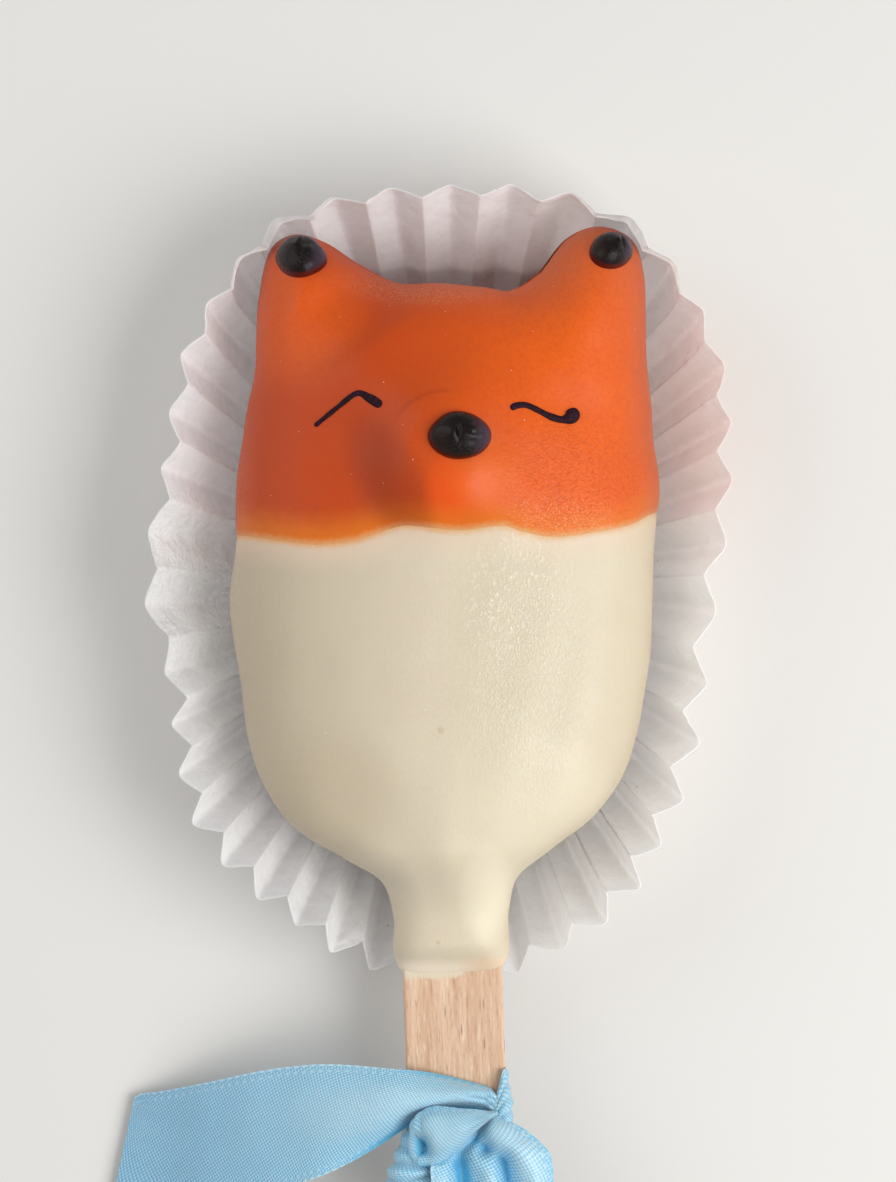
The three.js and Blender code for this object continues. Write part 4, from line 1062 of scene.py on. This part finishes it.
def paper_finish(colours):
    """Greaseproof paper: white, matt, softly crumpled, with a few specks; painted highlights pale its inward
    fold lines and rim, painted shade darkens its pleats' outer troughs, and a painted pink glow of light from
    the cake lies on its right wall.
    """
    f = Finish("pleated paper")
    at = f.place()
    x, y, _ = f.split(at)
    rise, wave = f.mark("rise"), f.mark("wave")
    fibre = f.noise(at, 0.3, 3, 0.6)
    cloud = f.noise(at, 2.2, 4, 0.6)
    left = f.fade(x, 2, 20)
    # Painted highlights along the inward fold lines and the rim.
    painted_fold_highlights = f.fade(wave, -0.98, -0.7) * 0.7 + f.step(rise, 0.96, 1)
    # Painted shade in the pleats' outer troughs, less towards the rim.
    painted_hollow_shade = f.step(wave, -0.2, 1) * (1 - 0.7 * rise)
    specks = f.fade(f.cells(at, 3.4), 0.025, 0.06) * f.patches(at, 6, 0.48, 0.55)
    base = f.laid(
        colours.paper,
        (f.step(cloud, 0.35, 0.65) * (0.3 + 0.5 * left), rgb(243, 238, 243)),
        (f.patches(at, 0.9, 0.5, 0.75, 3, 0.6) * 0.4, rgb(231, 224, 230)),
        ((1 - left) * 0.7, rgb(255, 243, 235)),
        (painted_fold_highlights * 0.8, rgb(255, 254, 254)),
        (painted_hollow_shade * 0.28, rgb(206, 197, 200)),
        # Painted light: the pink glow that the orange coat throws on the right wall.
        (f.spot(x, y, (27, 16), (12, 15)) * 0.7, rgb(250, 192, 176)),
        (specks * 0.6, rgb(150, 120, 84)),
    )
    crumple = f.noise(at, 1, 3, 0.7) * (0.12 + 0.5 * f.spot(x, y, (-26, -1), (7, 13)))
    height = fibre * 0.012 + cloud * 0.3 - wave * 0.5 + crumple
    return f.done(
        Base_Color=base, Roughness=0.72 + 0.15 * fibre, Normal=f.bump(height),
        Subsurface_Weight=0.85, Subsurface_Radius=(1, 0.98, 1), Subsurface_Scale=0.0018,
        Specular_IOR_Level=0.3,
    )


def satin_finish(colours):
    """Satin ribbon: rows of pale floats that run aslant, a corded edge and a sheen; painted shade darkens its
    left tail and turns its creases deep blue, and painted highlights pale its crests.
    """
    f = Finish("blue satin")
    side, run, proud = f.split(f.mark("cloth", "Vector"))
    x, _, _ = f.split(f.place())
    along_rows = (run * 0.9 + side * 0.43).wave(0.41)
    across_rows = (side * 0.9 - run * 0.43).wave(0.45)
    floats = f.step(along_rows * across_rows, -0.7, 0.8)
    from_middle = abs(side)
    cord = f.step(from_middle, 5.72, 5.8)
    stitch = f.step(from_middle, 5.1, 5.2) * f.fade(from_middle, 5.3, 5.4)
    beads = f.step(run.wave(0.9), -0.6, 0.6)
    dashes = f.step((run + side * 0.5).wave(0.9), -0.3, 0.4)
    weave = floats * (1 - cord) * (1 - stitch)
    weave = weave + cord * (0.4 + 0.6 * beads) + stitch * (0.3 + 0.5 * dashes)
    base = f.laid(
        colours.satin,
        (weave * 0.58, colours.satin_floats),
        # Painted shade on the left tail.
        (f.fade(x, -31, -8) * 0.36, rgb(84, 132, 166)),
        # Painted highlights on the crests that stand up.
        (f.step(proud, 0.3, 1.6) * 0.22, colours.satin_floats),
        # Painted shade: the sunken creases deep blue, as light bounced between the folds.
        (f.fade(proud, -0.9, 0) * 0.9, rgb(76, 180, 226)),
    )
    return f.done(
        Base_Color=base, Roughness=0.36 - 0.06 * weave, Normal=f.bump(weave * 0.05 + cord * 0.05),
        Subsurface_Weight=0.4, Subsurface_Radius=(0.4, 0.8, 1), Subsurface_Scale=0.0006,
        Sheen_Weight=0.4, Sheen_Roughness=0.3, Specular_IOR_Level=0.8,
    )


# Stage


def build_stage(stage):
    """Pale floor, soft lights and the camera straight above, as far off as the photograph's."""
    scene = bpy.context.scene
    half, low = FLOOR_HALF, -FLOOR_GAP
    mesh = bpy.data.meshes.new("floor")
    mesh.from_pydata(
        [(-half, -half, low), (half, -half, low), (half, half, low), (-half, half, low)], [], [(0, 1, 2, 3)]
    )
    floor = bpy.data.objects.new("floor", mesh)
    mesh.materials.append(Finish("pale floor").done(Base_Color=(*stage.floor, 1), Roughness=0.8))
    scene.collection.objects.link(floor)
    for name, place, size, power in (
        ("key light", KEY_PLACE, KEY_SIZE, stage.key_power),
        ("fill light", FILL_PLACE, FILL_SIZE, stage.fill_power),
    ):
        light = bpy.data.lights.new(name, "AREA")
        light.shape, light.size, light.energy = "SQUARE", size, power
        lamp = bpy.data.objects.new(name, light)
        lamp.location = place
        lamp.rotation_mode = "QUATERNION"
        lamp.rotation_quaternion = (Vector(LIT_PLACE) - Vector(place)).to_track_quat("-Z", "Y")
        scene.collection.objects.link(lamp)
    world = bpy.data.worlds.new("studio")
    world.use_nodes = True
    colour, strength = world.node_tree.nodes["Background"].inputs[:2]
    colour.default_value, strength.default_value = (1, 1, 1, 1), stage.room_light
    scene.world = world
    scene.view_settings.view_transform = "Standard"
    camera = bpy.data.cameras.new("camera")
    camera.sensor_fit, camera.sensor_height = "VERTICAL", SENSOR_HEIGHT
    camera.lens = SENSOR_HEIGHT * FOCAL_PIXELS / PHOTO_HEIGHT
    camera.clip_start = 0.01
    viewer = bpy.data.objects.new("camera", camera)
    viewer.location = (VIEW_MIDDLE[0] * MM, VIEW_MIDDLE[1] * MM, VIEW_DISTANCE * MM)
    scene.collection.objects.link(viewer)
    scene.camera = viewer


# Add-on


def colour_property(name, description, default):
    return bpy.props.FloatVectorProperty(
        name=name, description=description, default=default, subtype="COLOR", min=0, max=1
    )


def length_property(name, description, default):
    return bpy.props.FloatProperty(
        name=name, description=description, default=default, unit="LENGTH", min=0.00002, precision=5
    )


def light_property(name, description, default, unit="NONE"):
    return bpy.props.FloatProperty(name=name, description=description, default=default, unit=unit, min=0)


class CakesicleSizes(bpy.types.PropertyGroup):
    coat_thickness: length_property("Orange coat", "How far the orange coat stands off the cake", 0.00022)
    drop_height: bpy.props.FloatProperty(
        name="Drop height", description="Height of the chocolate drops, as a share of the real one",
        default=1.0, subtype="FACTOR", min=0.5, max=1.3,
    )
    stick_fillet: length_property("Stick edge", "Radius of the stick's rounded edges", 0.00035)
    paper_thickness: length_property("Paper", "Thickness of the cup's paper", 0.00014)
    pleat_depth: length_property("Pleat depth", "Half the depth of the pleats at the rim", 0.00087)
    ribbon_thickness: length_property("Ribbon", "Thickness of the ribbon", 0.0003)


class CakesicleColours(bpy.types.PropertyGroup):
    cream: colour_property("Cream coat", "Colour of the cream coat", rgb(219, 207, 184))
    orange: colour_property("Orange coat", "Colour of the orange coat", rgb(190, 67, 2))
    # Painted light: the orange coat's colour where the light falls on it, laid over its right and left ear.
    orange_painted_light: colour_property("Orange, right", "Colour of the orange coat's right", rgb(236, 98, 10))
    chocolate: colour_property("Chocolate", "Colour of the chocolate drops", rgb(16, 6, 6))
    line: colour_property("Eye lines", "Colour of the piped lines", rgb(32, 8, 20))
    wood: colour_property("Wood", "Colour of the stick", rgb(223, 190, 162))
    paper: colour_property("Paper", "Colour of the paper cup", rgb(253, 252, 253))
    satin: colour_property("Satin", "Colour of the ribbon", rgb(107, 188, 224))
    satin_floats: colour_property("Satin floats", "Colour of the ribbon's raised threads", rgb(238, 250, 254))


class CakesicleStage(bpy.types.PropertyGroup):
    floor: colour_property("Floor", "Colour of the floor", rgb(226, 224, 220))
    key_power: light_property("Key light", "Power of the light on the right", 1.36, "POWER")
    fill_power: light_property("Fill light", "Power of the light on the left", 0.42, "POWER")
    room_light: light_property("Room light", "Strength of the light from all round", 0.47)


def made(build, scene):
    """Makes a piece with the scene's sizes and colours, and says so to Blender."""
    build(scene.cakesicle_sizes, scene.cakesicle_colours)
    return {"FINISHED"}


class CAKESICLE_OT_stage(bpy.types.Operator):
    """Makes the floor, the lights and the camera"""

    bl_idname = "cakesicle.stage"
    bl_label = "Stage"

    def execute(self, context):
        build_stage(context.scene.cakesicle_stage)
        return {"FINISHED"}


class CAKESICLE_OT_cake(bpy.types.Operator):
    """Makes the cake with its cream and orange coats"""

    bl_idname = "cakesicle.cake"
    bl_label = "Cake and coats"

    def execute(self, context):
        return made(build_cake, context.scene)


class CAKESICLE_OT_drops(bpy.types.Operator):
    """Makes the chocolate drops of the nose and the ear tips"""

    bl_idname = "cakesicle.drops"
    bl_label = "Chocolate drops"

    def execute(self, context):
        return made(build_drops, context.scene)


class CAKESICLE_OT_eyes(bpy.types.Operator):
    """Makes the piped lines of the closed eyes"""

    bl_idname = "cakesicle.eyes"
    bl_label = "Eye lines"

    def execute(self, context):
        return made(build_eyes, context.scene)


class CAKESICLE_OT_stick(bpy.types.Operator):
    """Makes the wooden stick"""

    bl_idname = "cakesicle.stick"
    bl_label = "Stick"

    def execute(self, context):
        return made(build_stick, context.scene)


class CAKESICLE_OT_cup(bpy.types.Operator):
    """Makes the pleated paper cup"""

    bl_idname = "cakesicle.cup"
    bl_label = "Paper cup"

    def execute(self, context):
        return made(build_cup, context.scene)


class CAKESICLE_OT_ribbon(bpy.types.Operator):
    """Makes the satin ribbon with its half knot"""

    bl_idname = "cakesicle.ribbon"
    bl_label = "Ribbon"

    def execute(self, context):
        return made(build_ribbon, context.scene)


PIECES = (
    CAKESICLE_OT_stage, CAKESICLE_OT_cake, CAKESICLE_OT_drops, CAKESICLE_OT_eyes, CAKESICLE_OT_stick,
    CAKESICLE_OT_cup, CAKESICLE_OT_ribbon,
)


class CAKESICLE_PT_pieces(bpy.types.Panel):
    """Lists the pieces, with their sizes and colours"""

    bl_idname = "CAKESICLE_PT_pieces"
    bl_label = "Cakesicle"
    bl_space_type = "VIEW_3D"
    bl_region_type = "UI"
    bl_category = "Cakesicle"

    def draw(self, context):
        for piece in PIECES:
            self.layout.operator(piece.bl_idname)
        scene = context.scene
        for group in (scene.cakesicle_sizes, scene.cakesicle_colours, scene.cakesicle_stage):
            box = self.layout.box()
            for name in type(group).__annotations__:
                box.prop(group, name)


GROUPS = {
    "cakesicle_sizes": CakesicleSizes,
    "cakesicle_colours": CakesicleColours,
    "cakesicle_stage": CakesicleStage,
}


def register():
    for each in (*GROUPS.values(), *PIECES, CAKESICLE_PT_pieces):
        bpy.utils.register_class(each)
    for name, group in GROUPS.items():
        setattr(bpy.types.Scene, name, bpy.props.PointerProperty(type=group))


def unregister():
    for name in GROUPS:
        delattr(bpy.types.Scene, name)
    for each in reversed((*GROUPS.values(), *PIECES, CAKESICLE_PT_pieces)):
        bpy.utils.unregister_class(each)


def main():
    register()
    bpy.ops.cakesicle.stage()
    bpy.ops.cakesicle.cake()
    bpy.ops.cakesicle.drops()
    bpy.ops.cakesicle.eyes()
    bpy.ops.cakesicle.stick()
    bpy.ops.cakesicle.cup()
    bpy.ops.cakesicle.ribbon()


if __name__ == "__main__":
    main()
